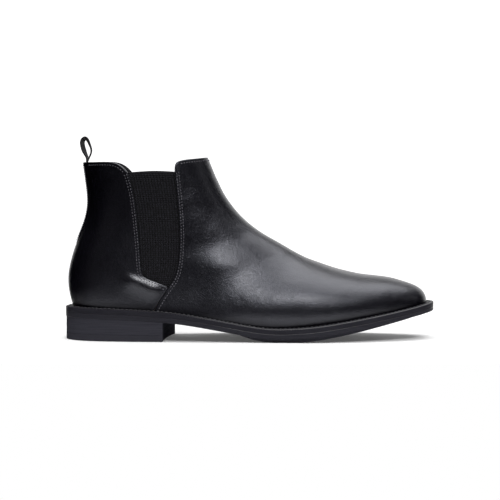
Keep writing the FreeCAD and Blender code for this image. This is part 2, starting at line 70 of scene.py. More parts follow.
# The last, one row for each section from the topline to the toe: ridge x, z | back or bottom x, z | half
# width | fullness | rise of the widest point | centre line's offset at the ridge and at the bottom
LAST = np.array([
    (-39.5, 160.0, -140.2, 158.0, 29.0, 0.00, 0.00, 0.0, 0.0),
    (-33.6, 146.6, -137.3, 145.4, 29.2, 0.00, 0.00, 0.0, 0.0),
    (-27.5, 132.0, -135.0, 129.0, 29.8, 0.00, 0.00, 0.3, 0.0),
    (-20.8, 118.6, -133.7, 113.0, 30.6, 0.00, 0.00, 0.8, 0.0),
    (-13.8, 108.4, -136.3, 98.0, 31.4, 0.00, 0.00, 1.4, 0.0),
    (-6.8, 100.4, -141.9, 83.5, 32.2, 0.01, 0.00, 2.0, 0.0),
    (0.2, 94.2, -147.2, 68.0, 32.8, 0.03, 0.01, 2.6, 0.0),
    (7.2, 88.8, -150.4, 51.0, 33.2, 0.05, 0.02, 3.2, 0.0),
    (14.2, 84.0, -148.3, 33.5, 33.6, 0.07, 0.03, 3.6, -0.3),
    (21.4, 79.5, -140.2, 15.0, 34.0, 0.07, 0.03, 3.8, -0.9),
    (29.0, 75.0, -123.0, 2.0, 34.8, 0.05, 0.02, 3.8, -2.2),
    (37.5, 70.6, -98.0, -5.0, 36.4, 0.03, 0.00, 3.6, -4.2),
    (46.5, 66.6, -63.0, -8.0, 39.2, 0.01, -0.01, 3.2, -5.0),
    (56.0, 63.1, -26.0, -11.0, 42.8, 0.00, -0.01, 2.8, -3.6),
    (66.0, 59.6, 8.0, -13.5, 45.2, 0.00, -0.01, 2.6, -1.2),
    (78.0, 56.2, 38.0, -13.0, 45.2, 0.00, 0.00, 2.6, 0.6),
    (91.0, 53.4, 64.0, -10.5, 42.2, 0.00, 0.00, 2.8, 1.8),
    (104.0, 51.9, 86.0, -7.0, 37.4, 0.00, 0.00, 3.0, 2.6),
    (117.0, 49.9, 103.0, -2.5, 32.2, 0.01, 0.00, 3.3, 3.2),
    (129.0, 46.6, 115.0, 2.0, 27.4, 0.02, 0.00, 3.6, 3.6),
    (138.5, 42.6, 121.0, 6.0, 23.4, 0.02, 0.00, 3.9, 3.9),
    (144.3, 37.4, 124.5, 9.5, 19.8, 0.02, 0.00, 4.0, 4.0),
    (146.4, 31.0, 127.5, 12.5, 16.4, 0.01, 0.00, 4.0, 4.0),
    (145.8, 24.0, 130.0, 14.5, 12.6, 0.00, 0.00, 4.0, 4.0),
])
TOE_END = len(LAST) - 1
TOP_END, QUARTER_END = 0.2, 13.5      # sections where panels start, and where the quarters end

# side-view lines, as (x, z)
SEAT = [(-175, 27.6), (-152.4, 27.2), (-122, 26.7), (-95, 25.8), (-77.5, 24.8), (-56, 22.7), (-40, 20.3),
        (-27, 18.1), (-14, 15.8), (-1, 13.5), (12, 11.8), (24.5, 11.3), (37, 11.8), (50, 12.8),
        (63, 14.4), (89, 18.5), (116, 23.3), (143.8, 29.0), (175, 35.6)]
TREAD_REAR = [(-10, 6.3), (2, 2.3), (12, 0.4), (20, 0)]
TREAD_FORE = [(36, 0), (44, 0.3), (58, 2.1), (75, 5.3), (90, 8.4), (107, 12.3), (125, 16.7), (136, 19.6)]
# how far the welt stands out from the upper, as (x, reach)
WELT_REACH = [(-150, 6.3), (-142, 5.6), (-132, 4.3), (-115, 3.7), (-60, 3.8), (-20, 4.6), (30, 5.2),
              (100, 5.3), (135, 5.6), (150, 5.9)]
# the upper's cut lines, as (x, z)
GORE_BACK = [(-99.3, 137.2), (-96.6, 128.7), (-94.6, 120.0), (-92.1, 102.8), (-90.1, 83.9), (-88.7, 65.0),
             (-87.9, 57.0), (-86.6, 53.4), (-83.6, 51.2), (-76.5, 48.4), (-66.0, 44.0)]
GORE_FRONT = [(-66.0, 44.0), (-62.2, 49.8), (-59.2, 58.0), (-57.3, 72.9), (-57.0, 84.0), (-57.8, 104.3),
              (-59.2, 120.0), (-61.0, 137.4)]
GORE_TOP = [(-99.3, 137.2), (-80.0, 138.2), (-61.0, 137.4)]
VAMP_TOP = [(-61.0, 137.4), (-60.9, 142.2), (-59.6, 145.2), (-55.6, 147.0), (-45.0, 148.4), (-20.0, 151.2)]
QUARTER_TOP = [(-150.0, 145.7), (-125.0, 145.7), (-114.0, 145.6), (-108.0, 144.2), (-103.0, 141.0),
               (-99.3, 137.2)]
SIDE_SEAM = [(-80.5, 20.0), (-72.6, 34.5), (-66.0, 44.0)]


# ---- curves ----
def distances(path):
    """How far along a path each of its points lies."""
    return np.concatenate([[0], np.cumsum(np.linalg.norm(np.diff(path, axis=0), axis=1))])


def bends_of(u, values):
    """Second derivatives of the natural cubic spline through values (rows) at places u."""
    n, h = len(u), np.diff(u)
    a = np.eye(n)
    rhs = np.zeros(values.shape)
    for i in range(1, n - 1):
        a[i, i - 1:i + 2] = h[i - 1], 2 * (h[i - 1] + h[i]), h[i]
        rhs[i] = 6 * ((values[i + 1] - values[i]) / h[i] - (values[i] - values[i - 1]) / h[i - 1])
    return np.linalg.solve(a, rhs)


def spline_at(u, values, bends, at):
    """The spline's rows at places at."""
    i = np.clip(np.searchsorted(u, at, "right") - 1, 0, len(u) - 2)
    h = (u[i + 1] - u[i])[..., None]
    f = ((at - u[i]) / (u[i + 1] - u[i]))[..., None]
    g = 1 - f
    return g * values[i] + f * values[i + 1] + h * h * ((g**3 - g) * bends[i] + (f**3 - f) * bends[i + 1]) / 6


def smooth(points, count=None):
    """Points along the smooth curve through side-view points."""
    p = np.array(points, float)
    u = distances(p)
    return spline_at(u, p, bends_of(u, p), np.linspace(0, u[-1], count or 5 * len(p)))


def beside(points, distance):
    """A curve moved to the right of its direction, or to the left when distance is negative."""
    p = np.array(points, float)
    d = np.gradient(p, axis=0)
    d /= np.linalg.norm(d, axis=1)[:, None]
    return p + distance * np.stack([d[:, 1], -d[:, 0]], 1)


SEAT_CURVE = smooth(SEAT, 400)


def seat(x):
    """Height of the welt's top face."""
    return np.interp(x, SEAT_CURVE[:, 0], SEAT_CURVE[:, 1])


def ramp(x, start, end):
    """0 before start, 1 after end, and a soft rise between."""
    f = np.clip((x - start) / (end - start), 0, 1)
    return f * f * (3 - 2 * f)


def reach(x):
    """How far the welt stands out from the upper."""
    return np.interp(x, *zip(*WELT_REACH))


# ---- the last's surface ----
ROWS = np.arange(len(LAST), dtype=float)
LAST_BENDS = bends_of(ROWS, LAST)
T_SCALE, PHI_SCALE = 13.0, 40.0      # millimetres that a unit of each parameter is worth
LONGEST_STEP = 8.0                   # millimetres that one round of the search may move


def skin(t, phi, depth=0.0):
    """Points of the last's surface at place t along it and phi around it, at a depth below its face."""
    rx, rz, lx, lz, half, full, rise, c0, c1 = np.moveaxis(spline_at(ROWS, LAST, LAST_BENDS, t), -1, 0)
    length = np.hypot(lx - rx, lz - rz)
    s = 0.5 * (1 - np.cos(phi)) + rise * np.sin(phi) ** 2
    y = c0 * (1 - s) + c1 * s - half * (np.sin(phi) + full * np.sin(3 * phi)) / (1 - full)
    dr = (0.5 * np.sin(phi) + rise * np.sin(2 * phi)) * length
    dy = (c1 - c0) * dr / length - half * (np.cos(phi) + 3 * full * np.cos(3 * phi)) / (1 - full)
    size = np.hypot(dr, dy)
    r = s * length - depth * dy / size
    return np.stack([rx + (lx - rx) / length * r, y + depth * dr / size + CENTRE_Y,
                     rz + (lz - rz) / length * r], -1)


def slopes(value, t, phi, step=1e-3):
    """The two derivatives of value(t, phi), per millimetre of each parameter."""
    dt = (value(t + step, phi) - value(t - step, phi)) / (2 * step * T_SCALE)
    dp = (value(t, phi + step) - value(t, phi - step)) / (2 * step * PHI_SCALE)
    return dt, dp


def walk(t, phi, field, target):
    """Moves surface places straight to where field has the value target."""
    def value(a, b):
        return field(skin(a, b))
    for _ in range(3):
        dt, dp = slopes(value, t, phi)
        move = np.clip((target - value(t, phi)) / np.maximum(dt * dt + dp * dp, 1e-4), -3, 3)
        t = np.clip(t + move * dt / T_SCALE, 0, TOE_END)
        phi = phi + move * dp / PHI_SCALE
    return t, phi


def locate(targets, axes, guess_t, guess_phi):
    """Surface places whose coordinates along two axes are the targets."""
    t, phi = guess_t.copy(), guess_phi.copy()
    for _ in range(12):
        miss = targets - skin(t, phi)[:, axes]
        jt, jp = slopes(lambda a, b: skin(a, b)[..., axes], t, phi)
        det = jt[:, 0] * jp[:, 1] - jt[:, 1] * jp[:, 0]
        det = np.where(np.abs(det) < 1e-6, 1e-6, det)
        along = (miss[:, 0] * jp[:, 1] - miss[:, 1] * jp[:, 0]) / det
        around = (jt[:, 0] * miss[:, 1] - jt[:, 1] * miss[:, 0]) / det
        t = np.clip(t + np.clip(along, -LONGEST_STEP, LONGEST_STEP) / T_SCALE, 0, TOE_END)
        phi = phi + np.clip(around, -LONGEST_STEP, LONGEST_STEP) / PHI_SCALE
    return t, phi


def on_side(points, side):
    """Surface places under side-view points on one side of the boot."""
    middle = PI / 2 if side == LATERAL else 3 * PI / 2
    coarse_t, coarse_p = np.meshgrid(np.linspace(0, TOE_END, 180), middle + np.linspace(-1.4, 1.4, 61))
    p = skin(coarse_t, coarse_p).reshape(-1, 3)[:, [0, 2]]
    near = np.array([np.argmin(((p - q) ** 2).sum(1)) for q in points])
    return locate(points, [0, 2], coarse_t.ravel()[near], coarse_p.ravel()[near])


def normals(t, phi, depth=0.0):
    """Unit normals of the surface, pointing out of the boot."""
    a, b = slopes(lambda u, v: skin(u, v, depth), t, phi)
    n = np.cross(a, b)
    n /= np.linalg.norm(n, axis=-1, keepdims=True)
    inward = skin(t, phi, depth + 1.0) - skin(t, phi, depth)
    return np.where((n * inward).sum(-1, keepdims=True) > 0, -n, n)


# ---- side-view shapes ----
def signed(polygon, x, z):
    """Distance inside a closed side-view polygon, negative outside."""
    a = np.array(polygon, float)
    b = np.roll(a, -1, axis=0)
    best, odd = np.full(x.shape, 1e9), np.zeros(x.shape, bool)
    for (ax, az), (bx, bz) in zip(a, b):
        ex, ez = bx - ax, bz - az
        if ex * ex + ez * ez < 1e-12:
            continue
        f = np.clip(((x - ax) * ex + (z - az) * ez) / (ex * ex + ez * ez), 0, 1)
        best = np.minimum(best, (x - ax - f * ex) ** 2 + (z - az - f * ez) ** 2)
        if ez:
            odd ^= ((az > z) != (bz > z)) & (x < ax + ex * (z - az) / ez)
    return np.where(odd, 1, -1) * np.sqrt(best)


def far_line(line):
    """Distance to the right of an open side-view curve, negative to its left."""
    def field(x, z):
        p = np.array(line, float)
        best, side = np.full(x.shape, 1e9), np.zeros(x.shape)
        for (ax, az), (bx, bz) in zip(p, p[1:]):
            ex, ez = bx - ax, bz - az
            f = np.clip(((x - ax) * ex + (z - az) * ez) / (ex * ex + ez * ez), 0, 1)
            d = (x - ax - f * ex) ** 2 + (z - az - f * ez) ** 2
            nearer = d < best
            best = np.where(nearer, d, best)
            side = np.where(nearer, np.sign((x - ax) * ez - (z - az) * ex), side)
        return side * np.sqrt(best)
    return field


FAR, SKY, DEPTH, SHAFT_TOP = 175.0, 220.0, -60.0, 155.0      # well past the boot on every side
SEAM_FOOT, REAR_TOP = SIDE_SEAM[0][0], QUARTER_TOP[0][1]
GORE_POINT, GORE_REAR_TOP, GORE_FRONT_TOP = GORE_BACK[-1], GORE_BACK[0], GORE_FRONT[-1]
VAMP_REAR = smooth(SIDE_SEAM + GORE_FRONT[1:], 90)
TOPLINE = np.concatenate([smooth(QUARTER_TOP, 60), smooth(GORE_TOP, 20)[1:], smooth(VAMP_TOP, 60)[1:]])
VAMP_SHAPE = np.concatenate([VAMP_REAR, smooth(VAMP_TOP, 60)[1:],
                             [(FAR, SHAFT_TOP), (FAR, DEPTH), (SEAM_FOOT, DEPTH)]])
QUARTER_SHAPE = np.concatenate([
    smooth(GORE_BACK, 90)[::-1], smooth(QUARTER_TOP, 60)[::-1][1:],
    [(-FAR, REAR_TOP), (-FAR, DEPTH), (SEAM_FOOT, DEPTH)],
    VAMP_REAR[:30][VAMP_REAR[:30, 1] < GORE_POINT[1]]])
LINING_SHAPE = np.concatenate([TOPLINE, [(FAR, SHAFT_TOP), (FAR, DEPTH), (-FAR, DEPTH)]])
WINDOW = np.concatenate([smooth(GORE_BACK, 90), smooth(GORE_FRONT, 60)[1:],
                         [(GORE_FRONT_TOP[0], SKY), (GORE_REAR_TOP[0], SKY)]])
AHEAD_OF_SEAM = far_line(VAMP_REAR)
SEAM_TO_SKY = far_line(np.concatenate([VAMP_REAR, [(GORE_FRONT_TOP[0], SKY)]]))


def bottom_edge(p, sunk=0.4):
    """Distance above the welt's top face."""
    return p[..., 2] - seat(p[..., 0]) + sunk


def vamp_field(p):
    """Distance inside the vamp's cut edge."""
    return np.minimum(signed(VAMP_SHAPE, p[..., 0], p[..., 2]), bottom_edge(p)) - SEAM_GAP


def quarter_field(side):
    """Distance inside one quarter's cut edge, which ends at the back seam."""
    def field(p):
        edge = np.minimum(signed(QUARTER_SHAPE, p[..., 0], p[..., 2]), bottom_edge(p)) - SEAM_GAP
        return np.minimum(edge, side * (p[..., 1] - CENTRE_Y) - SEAM_GAP)
    return field


# ---- meshes ----
NEAR_EDGE = 0.3      # share of a grid step within which a point is moved onto the cut edge


def cut_sheet(t_values, phi_values, field):
    """The part of a grid over the last where field is positive: places (t, phi) and faces. Grid points near
    the edge are moved onto it, so that no slivers are left there."""
    t, phi = (a.ravel().copy() for a in np.meshgrid(t_values, phi_values, indexing="ij"))
    f = field(skin(t, phi))
    step = min(np.diff(t_values).mean() * T_SCALE, np.diff(phi_values).mean() * PHI_SCALE)
    near = np.abs(f) < NEAR_EDGE * step
    t[near], phi[near] = walk(t[near], phi[near], field, 0.0)
    f[near] = 0.0
    ids = np.arange(len(t)).reshape(len(t_values), len(phi_values))
    cells = np.stack([ids[:-1, :-1], ids[1:, :-1], ids[1:, 1:], ids[:-1, 1:]], -1).reshape(-1, 4)
    low, high = f[cells].min(1), f[cells].max(1)
    faces = [tuple(c) for c in cells[(low >= 0) & (high > 0)]]
    mixed = cells[(low < 0) & (high > 0)]
    pairs = sorted({(min(a, b), max(a, b)) for c in mixed for a, b in zip(c, np.roll(c, -1))
                    if f[a] * f[b] < 0})
    a, b = np.array(pairs).T
    w = np.zeros(len(a)), np.ones(len(a))
    for _ in range(24):
        mid = (w[0] + w[1]) / 2
        value = field(skin(t[a] * (1 - mid) + t[b] * mid, phi[a] * (1 - mid) + phi[b] * mid))
        same = np.sign(value) == np.sign(f[a])
        w = np.where(same, mid, w[0]), np.where(same, w[1], mid)
    cross = {pair: len(t) + i for i, pair in enumerate(pairs)}
    t = np.concatenate([t, t[a] * (1 - w[0]) + t[b] * w[0]])
    phi = np.concatenate([phi, phi[a] * (1 - w[0]) + phi[b] * w[0]])
    for c in mixed:
        ring = []
        for p, q in zip(c, np.roll(c, -1)):
            if f[p] >= 0:
                ring.append(p)
            if f[p] * f[q] < 0:
                ring.append(cross[min(p, q), max(p, q)])
        if len(ring) > 2:
            faces.append(tuple(ring))
    used = sorted({v for face in faces for v in face})
    new = dict(zip(used, range(len(used))))
    return t[used], phi[used], [tuple(new[v] for v in face) for face in faces]


def border(faces):
    """Directed edges that only one face has."""
    edges = {(a, b) for face in faces for a, b in zip(face, face[1:] + face[:1])}
    return [(a, b) for a, b in edges if (b, a) not in edges]


def new_object(name, verts_mm, faces, material, attributes=None):
    """A smooth mesh object from millimetres, with a value at each vertex for every named attribute."""
    mesh = bpy.data.meshes.new(name)
    mesh.from_pydata((np.asarray(verts_mm) * MM).tolist(), [], faces)
    bm = bmesh.new()
    bm.from_mesh(mesh)
    bmesh.ops.recalc_face_normals(bm, faces=bm.faces[:])
    bm.to_mesh(mesh)
    bm.free()
    for key, values in (attributes or {}).items():
        mesh.attributes.new(key, "FLOAT", "POINT").data.foreach_set("value", np.asarray(values, np.float32))
    mesh.shade_smooth()
    mesh.materials.append(material)
    obj = bpy.data.objects.new(name, mesh)
    bpy.context.scene.collection.objects.link(obj)
    return obj


def level(p):
    """No rise."""
    return np.zeros(p.shape[:-1])


def panel(name, field, material, outer=0.0, inner=UPPER, t_step=1 / 11, phi_count=220, phi_ends=(-PI, PI),
          t_ends=(TOP_END, TOE_END), edge=0.45, lift=level, marks=None):
    """A closed panel of sheet material on the last between depths outer and inner, with a rounded outer edge.
    lift(points) raises its face, and marks are named values of each point that its material reads."""
    t_values = np.arange(t_ends[0], t_ends[1] + t_step / 2, t_step).clip(0, TOE_END)
    phi_values = np.linspace(*phi_ends, phi_count + 1)
    t, phi, faces = cut_sheet(t_values, phi_values, lambda p: field(p) - edge)
    rim = border(faces)
    at_rim = sorted({v for pair in rim for v in pair})
    place = {v: i for i, v in enumerate(at_rim)}
    layers = [skin(t, phi, outer - lift(skin(t, phi)))]
    starts = [0]
    for angle in (PI / 6, PI / 3, PI / 2):
        rt, rp = walk(t[at_rim], phi[at_rim], field, edge * (1 - math.sin(angle)))
        starts.append(sum(map(len, layers)))
        layers.append(skin(rt, rp, outer - lift(skin(rt, rp)) + edge * (1 - math.cos(angle))))
    back = skin(t, phi, inner)
    back[at_rim] = skin(rt, rp, inner)
    base = sum(map(len, layers))
    layers.append(back)

    def ring(k, v):
        """Vertex v of the rim in layer k."""
        return v if k == 0 else (starts[k] + place[v] if k < 4 else base + v)

    all_faces = list(faces) + [tuple(base + v for v in reversed(face)) for face in faces]
    for a, b in rim:
        all_faces += [(ring(k, b), ring(k, a), ring(k + 1, a), ring(k + 1, b)) for k in range(4)]
    verts = np.concatenate(layers)
    return new_object(name, verts, all_faces, material,
                      {key: measure(verts) for key, measure in (marks or {}).items()})


def crossing(depth, height, t_ends, phi_values):
    """Where the last's skin at a depth first passes height(x), for each place phi around it."""
    t_values = np.linspace(*t_ends, 260)
    t, phi = np.meshgrid(t_values, phi_values, indexing="ij")
    p = skin(t, phi, depth)
    above = p[..., 2] - height(p[..., 0])
    first, cols = np.argmax(above[1:] * above[:-1] < 0, axis=0), np.arange(len(phi_values))
    w = above[first, cols] / (above[first, cols] - above[first + 1, cols])
    return t_values[first] * (1 - w) + t_values[first + 1] * w


ANKLE_SECTION = 5.0      # the bottom is crossed only below this section


def loop_at(depth, height, count):
    """The closed plan curve where the last's skin at a depth crosses height(x), evenly spaced."""
    phi_values = np.linspace(0, 2 * PI, 481)[:-1]
    t = crossing(depth, height, (ANKLE_SECTION, TOE_END), phi_values)
    return even(skin(t, phi_values, depth)[:, :2], count)


def even(points, count):
    """A closed plan curve with evenly spaced points."""
    p = np.concatenate([points, points[:1]])
    u = distances(p)
    at = np.linspace(0, u[-1], count + 1)[:-1]
    return np.stack([np.interp(at, u, p[:, 0]), np.interp(at, u, p[:, 1])], 1)


def outward(loop, distance):
    """A closed plan curve grown by distance, a number or one value for each point."""
    stride = max(2, len(loop) // 200)
    d = np.roll(loop, -stride, axis=0) - np.roll(loop, stride, axis=0)
    d /= np.linalg.norm(d, axis=1)[:, None]
    return loop + np.asarray(distance).reshape(-1, 1) * np.stack([-d[:, 1], d[:, 0]], 1)


def quads(rings, size, closed=True):
    """Faces between rings of size points that follow each other."""
    last = size if closed else size - 1
    return [(k * size + i, k * size + (i + 1) % size, (k + 1) * size + (i + 1) % size, (k + 1) * size + i)
            for k in range(rings - 1) for i in range(last)]


EDGE_KEEP = 0.15                     # rings this close to a bevel keep the flat face beyond it flat
TOP_SHINE = 0.8                      # wax left on the upper bevel of a slab
WAX_STARTS, WAX_FULL = -70.0, 0.0    # along the boot


def slab(name, outline, top, bottom, material, bevel, cap_rings, spine=0.90):
    """A closed slab between two heights, given as functions of x, inside a plan outline. Its caps run to a
    narrow middle line that is spine times as long as the outline."""
    shrunk = outward(outline, -bevel)
    centre = np.array([outline[:, 0].mean(), 0.0])
    middle = centre + (shrunk - centre) * np.array([spine, 0.02])

    def cap(height, down):
        """Rings from the middle line of one cap to its rim, bevelled down or up."""
        made = []
        for share in np.linspace(1, 0, cap_rings)[:-1]:
            flat = shrunk + (middle - shrunk) * share
            made.append(np.c_[flat, height(flat[:, 0])])
        for angle in np.linspace(0, PI / 2, 4):
            flat = outward(outline, -bevel * (1 - math.sin(angle)))
            made.append(np.c_[flat, height(flat[:, 0]) - down * bevel * (1 - math.cos(angle))])
        made.append(np.c_[outline, height(outline[:, 0]) - down * (bevel + EDGE_KEEP)])
        return made

    rings = cap(top, 1) + cap(bottom, -1)[::-1]
    n = len(outline)
    faces = quads(len(rings), n) + [tuple(range(n)), tuple(range((len(rings) - 1) * n, len(rings) * n))]
    shine = np.zeros((len(rings), n))
    shine[cap_rings:cap_rings + 3] = TOP_SHINE * ramp(outline[:, 0], WAX_STARTS, WAX_FULL)
    return new_object(name, np.concatenate(rings), faces, material, {"rim": shine.ravel()})


def thread_row(path, outs, pitch, length, width, height=0.45, sink=0.12):
    """Sewn stitches along a path: short humps of thread whose ends dive into the surface. outs are the
    directions out of the surface along the path."""
    u = distances(path)
    along, around = 7, 8
    count = int((u[-1] - length) / pitch) + 1
    starts = (u[-1] - (count - 1) * pitch - length) / 2 + pitch * np.arange(count)
    f = np.linspace(0, 1, along)
    s = (starts[:, None] + f * length).ravel()
    p, n, d = (np.stack([np.interp(s, u, values[:, k]) for k in range(3)], 1)
               for values in (path, outs, np.gradient(path, u, axis=0)))
    side = np.cross(n, d)
    side /= np.linalg.norm(side, axis=1)[:, None]
    hump = np.tile(np.sin(PI * f) ** 0.7, count)
    size = np.tile(0.45 + 0.55 * np.sin(PI * f) ** 0.5, count)
    angle = np.linspace(0, 2 * PI, around + 1)[:-1]
    lift = (hump * height - sink)[:, None, None] * n[:, None]
    ring = (size[:, None, None] * (np.cos(angle)[None, :, None] * side[:, None] * width / 2
                                   + np.sin(angle)[None, :, None] * n[:, None] * height / 2))
    verts = (p[:, None] + lift + ring).reshape(-1, 3)
    faces = []
    for k in range(count):
        base = k * along * around
        faces += [tuple(base + v for v in q) for q in quads(along, around)]
        faces += [tuple(base + v for v in range(around)),
                  tuple(base + (along - 1) * around + v for v in range(around))]
    return verts, faces


def sew(name, rows, material):
    """One object from several rows of stitches."""
    verts, faces = [], []
    for v, f in rows:
        base = sum(map(len, verts))
        verts.append(v)
        faces += [tuple(base + i for i in face) for face in f]
    return new_object(name, np.concatenate(verts), faces, material)


STITCH_PITCH, STITCH_LENGTH, THREAD = 2.4, 1.3, 0.75


def side_row(line, side, lift):
    """A row of stitches under a side-view line, on a face raised by lift."""
    t, phi = on_side(line, side)
    p = skin(t, phi)
    n = normals(t, phi)
    return thread_row(p + lift(p)[:, None] * n, n, STITCH_PITCH, STITCH_LENGTH, THREAD)


# ---- materials ----
BAND_SCALE = 0.314    # a wave texture of this scale has one band in each unit


class Look:
    """A Principled material and the nodes that drive it."""

    def __init__(self, name, colour, roughness, **sockets):
        self.material = bpy.data.materials.new(name)
        self.material.use_nodes = True
        self.tree = self.material.node_tree
        self.shader = self.tree.nodes["Principled BSDF"]
        self.set("Base Color", (*colour, 1))
        self.set("Roughness", roughness)
        for socket, value in sockets.items():
            self.set(socket.replace("_", " "), value)

    def set(self, socket, value):
        self.shader.inputs[socket].default_value = value

    def node(self, kind, inputs=None, **props):
        """A new node, whose inputs are values or the outputs of other nodes."""
        made = self.tree.nodes.new("ShaderNode" + kind)
        for key, value in props.items():
            setattr(made, key, value)
        for key, value in (inputs or {}).items():
            if isinstance(value, bpy.types.NodeSocket):
                self.tree.links.new(value, made.inputs[key])
            else:
                made.inputs[key].default_value = value
        return made

    def link(self, output, socket):
        self.tree.links.new(output, self.shader.inputs[socket])

    def math(self, operation, a, b):
        return self.node("Math", {0: a, 1: b}, operation=operation).outputs[0]

    def place(self, scale=(1, 1, 1)):
        """Object coordinates, in metres, stretched by scale."""
        coords = self.node("TexCoord").outputs["Object"]
        return self.node("Mapping", {"Vector": coords, "Scale": scale}).outputs[0]

    def attribute(self, name):
        """A value that the mesh holds at each vertex, 0 where it has none."""
        return self.node("Attribute", attribute_name=name).outputs["Fac"]

    def noise(self, scale, detail=2.0, at=None):
        inputs = {"Vector": at or self.place(), "Scale": scale, "Detail": detail}
        return self.node("TexNoise", inputs).outputs["Fac"]

    def cells(self, scale):
        """Distance to the edge of the nearest cell."""
        inputs = {"Vector": self.place(), "Scale": scale}
        return self.node("TexVoronoi", inputs, feature="DISTANCE_TO_EDGE").outputs[0]

    def bands(self, spacing, direction):
        """Waves along one axis, spacing millimetres apart."""
        inputs = {"Vector": self.place(), "Scale": BAND_SCALE / (spacing * MM)}
        return self.node("TexWave", inputs, bands_direction=direction).outputs["Fac"]

    def spread(self, value, low, high, to_low=0.0, to_high=1.0):
        """Value stretched from low..high to to_low..to_high, and held there beyond them."""
        return self.node("MapRange", {"Value": value, "From Min": low, "From Max": high, "To Min": to_low,
                                      "To Max": to_high}).outputs[0]

    def blend(self, factor, a, b):
        """A mix of two colours, each given by its values or as another node's output."""
        mix = self.node("Mix", {"Factor": factor}, data_type="RGBA")
        for slot, colour in ((6, a), (7, b)):
            if isinstance(colour, bpy.types.NodeSocket):
                self.tree.links.new(colour, mix.inputs[slot])
            else:
                mix.inputs[slot].default_value = (*colour, 1)
        return mix.outputs[2]

    def bump(self, *heights):
        """Raises the surface by heights, each given as (value, millimetres)."""
        before = None
        for value, depth in heights:
            made = self.node("Bump", {"Height": value, "Strength": 1.0, "Distance": depth * MM})
            if before:
                self.tree.links.new(before, made.inputs["Normal"])
            before = made.outputs[0]
        self.link(before, "Normal")


def leather(name, tones, rough, grain, crease, specular, coat=0.0):
    """Grain leather of two tones. grain is the height of its pebbles, and crease that of its finer folds."""
    look = Look(name, tones[0], rough[0], Coat_Weight=coat, Coat_Roughness=0.285, Specular_IOR_Level=specular)
    look.set("Specular Tint", (0.86, 0.88, 1.0, 1))
    look.link(look.blend(look.noise(220), *tones), "Base Color")
    look.link(look.spread(look.noise(70, 3), 0.3, 0.7, *rough), "Roughness")
    pebble = look.spread(look.cells(780), 0.0, 0.3)
    look.bump((look.noise(130), crease), (look.noise(400, 3), crease), (pebble, grain))
    return look


def polished_leather():
    """The upper's leather: shinier where it is pulled taut, and less polished where it is dull."""
    polish, taut_polish, specular, dull_specular = 0.25, 1.0, 0.65, 0.22
    look = leather("black_leather", BLACKS, (0.285, 0.33), 0.06, 0.13, specular, polish)
    look.link(look.spread(look.attribute("taut"), 0, 1, polish, taut_polish), "Coat Weight")
    look.link(look.spread(look.attribute("dull"), 0, 1, specular, dull_specular), "Specular IOR Level")
    return look


def fibre(name, tones, streak, specular=0.07):
    """Cut leather or board, streaked along its layers."""
    look = Look(name, tones[0], 0.5, Specular_IOR_Level=specular)
    lines = look.noise(1.0, 2, look.place(streak))
    look.link(look.blend(look.spread(lines, 0.3, 0.75), *tones), "Base Color")
    look.link(look.spread(look.noise(120, 3), 0.3, 0.7, 0.36, 0.52), "Roughness")
    look.bump((lines, 0.012), (look.noise(600, 3), 0.015))
    return look


def edge_paint(name, tones, streak, specular=0.07):
    """A dressed sole edge, with wax where the mesh says rim."""
    look = fibre(name, tones, streak, specular)
    look.link(look.attribute("rim"), "Coat Weight")
    look.set("Coat Roughness", 0.3)
    return look


def welt_paint():
    """The welt's dressing, with painted shade on its inner part beside the upper."""
    look = edge_paint("welt_edge", WELT_TONES, (60, 60, 500))
    painted = look.shader.inputs["Base Color"].links[0].from_socket
    # painted shade over the welt's inner part beside the upper
    look.link(look.blend(look.attribute("inner"), painted, WELT_PAINTED_SHADE), "Base Color")
    return look


def rubber():
    look = Look("rubber", RUBBER_TONES[0], 0.7, Specular_IOR_Level=0.0)
    look.link(look.blend(look.noise(60, 4), *RUBBER_TONES), "Base Color")
    look.bump((look.cells(1100), 0.05), (look.noise(500, 4), 0.04))
    return look


def fabric(name, tones, yarn, sheen=0.15):
    """A plain weave of yarns that many millimetres wide."""
    look = Look(name, tones[0], 0.85, Sheen_Weight=sheen, Sheen_Roughness=0.5, Specular_IOR_Level=0.3)
    weave = look.math("MAXIMUM", look.bands(WEAVE_SPAN * yarn, "Z"), look.bands(WEAVE_SPAN * yarn, "Y"))
    look.link(look.blend(look.spread(look.noise(500, 3), 0.3, 0.7), *tones), "Base Color")
    look.bump((weave, 0.08), (look.noise(1600), 0.03))
    return look


def elastic():
    """Ribbed elastic: painted light on its cords, painted shade in the grooves between them and between its
    picks, and none of it on its rolled hem, which has no grooves.
    """
    look = Look("elastic", ELASTIC_TONES[1], 0.9, Sheen_Weight=0.08, Sheen_Roughness=0.45,
                Specular_IOR_Level=0.25)
    picks = look.bands(PICK_PITCH, "Z")
    tone = look.blend(look.spread(look.noise(700, 3), 0.3, 0.7), *ELASTIC_TONES)
    tone = look.blend(look.math("MULTIPLY", look.attribute("hem"), 0.6), tone, HEM_TONE)
    # painted light on the cords, dimmed by painted shade between the picks; the grooves get the painted shade
    # tone
    painted_cord_light = look.math("MULTIPLY", look.attribute("cord"), look.spread(picks, 0, 1, 0.35, 1.0))
    look.link(look.blend(look.spread(painted_cord_light, 0.1, 0.9), GROOVE_PAINTED_SHADE, tone), "Base Color")
    look.bump((picks, 0.25), (look.noise(900), 0.2))
    return look


def steel(name, roughness):
    look = Look(name, (0.42, 0.42, 0.44), roughness, Metallic=1.0)
    look.link(look.spread(look.noise(80, 4), 0.3, 0.7, roughness - 0.08, roughness + 0.12), "Roughness")
    look.bump((look.noise(900, 3), 0.02))
    return look


def puff_film():
    look = Look("toe_puff_film", (0.52, 0.50, 0.44), 0.5)
    look.bump((look.noise(300, 3), 0.06))
    return look


def foam():
    look = Look("heel_foam", (0.10, 0.10, 0.10), 0.9)
    look.bump((look.cells(900), 0.2))
    return look


def cork():
    look = Look("cork_filler", CORK_TONES[1], 0.85)
    look.link(look.blend(look.spread(look.cells(350), 0.0, 0.3), *CORK_TONES), "Base Color")
    look.bump((look.cells(350), 0.3))
    return look


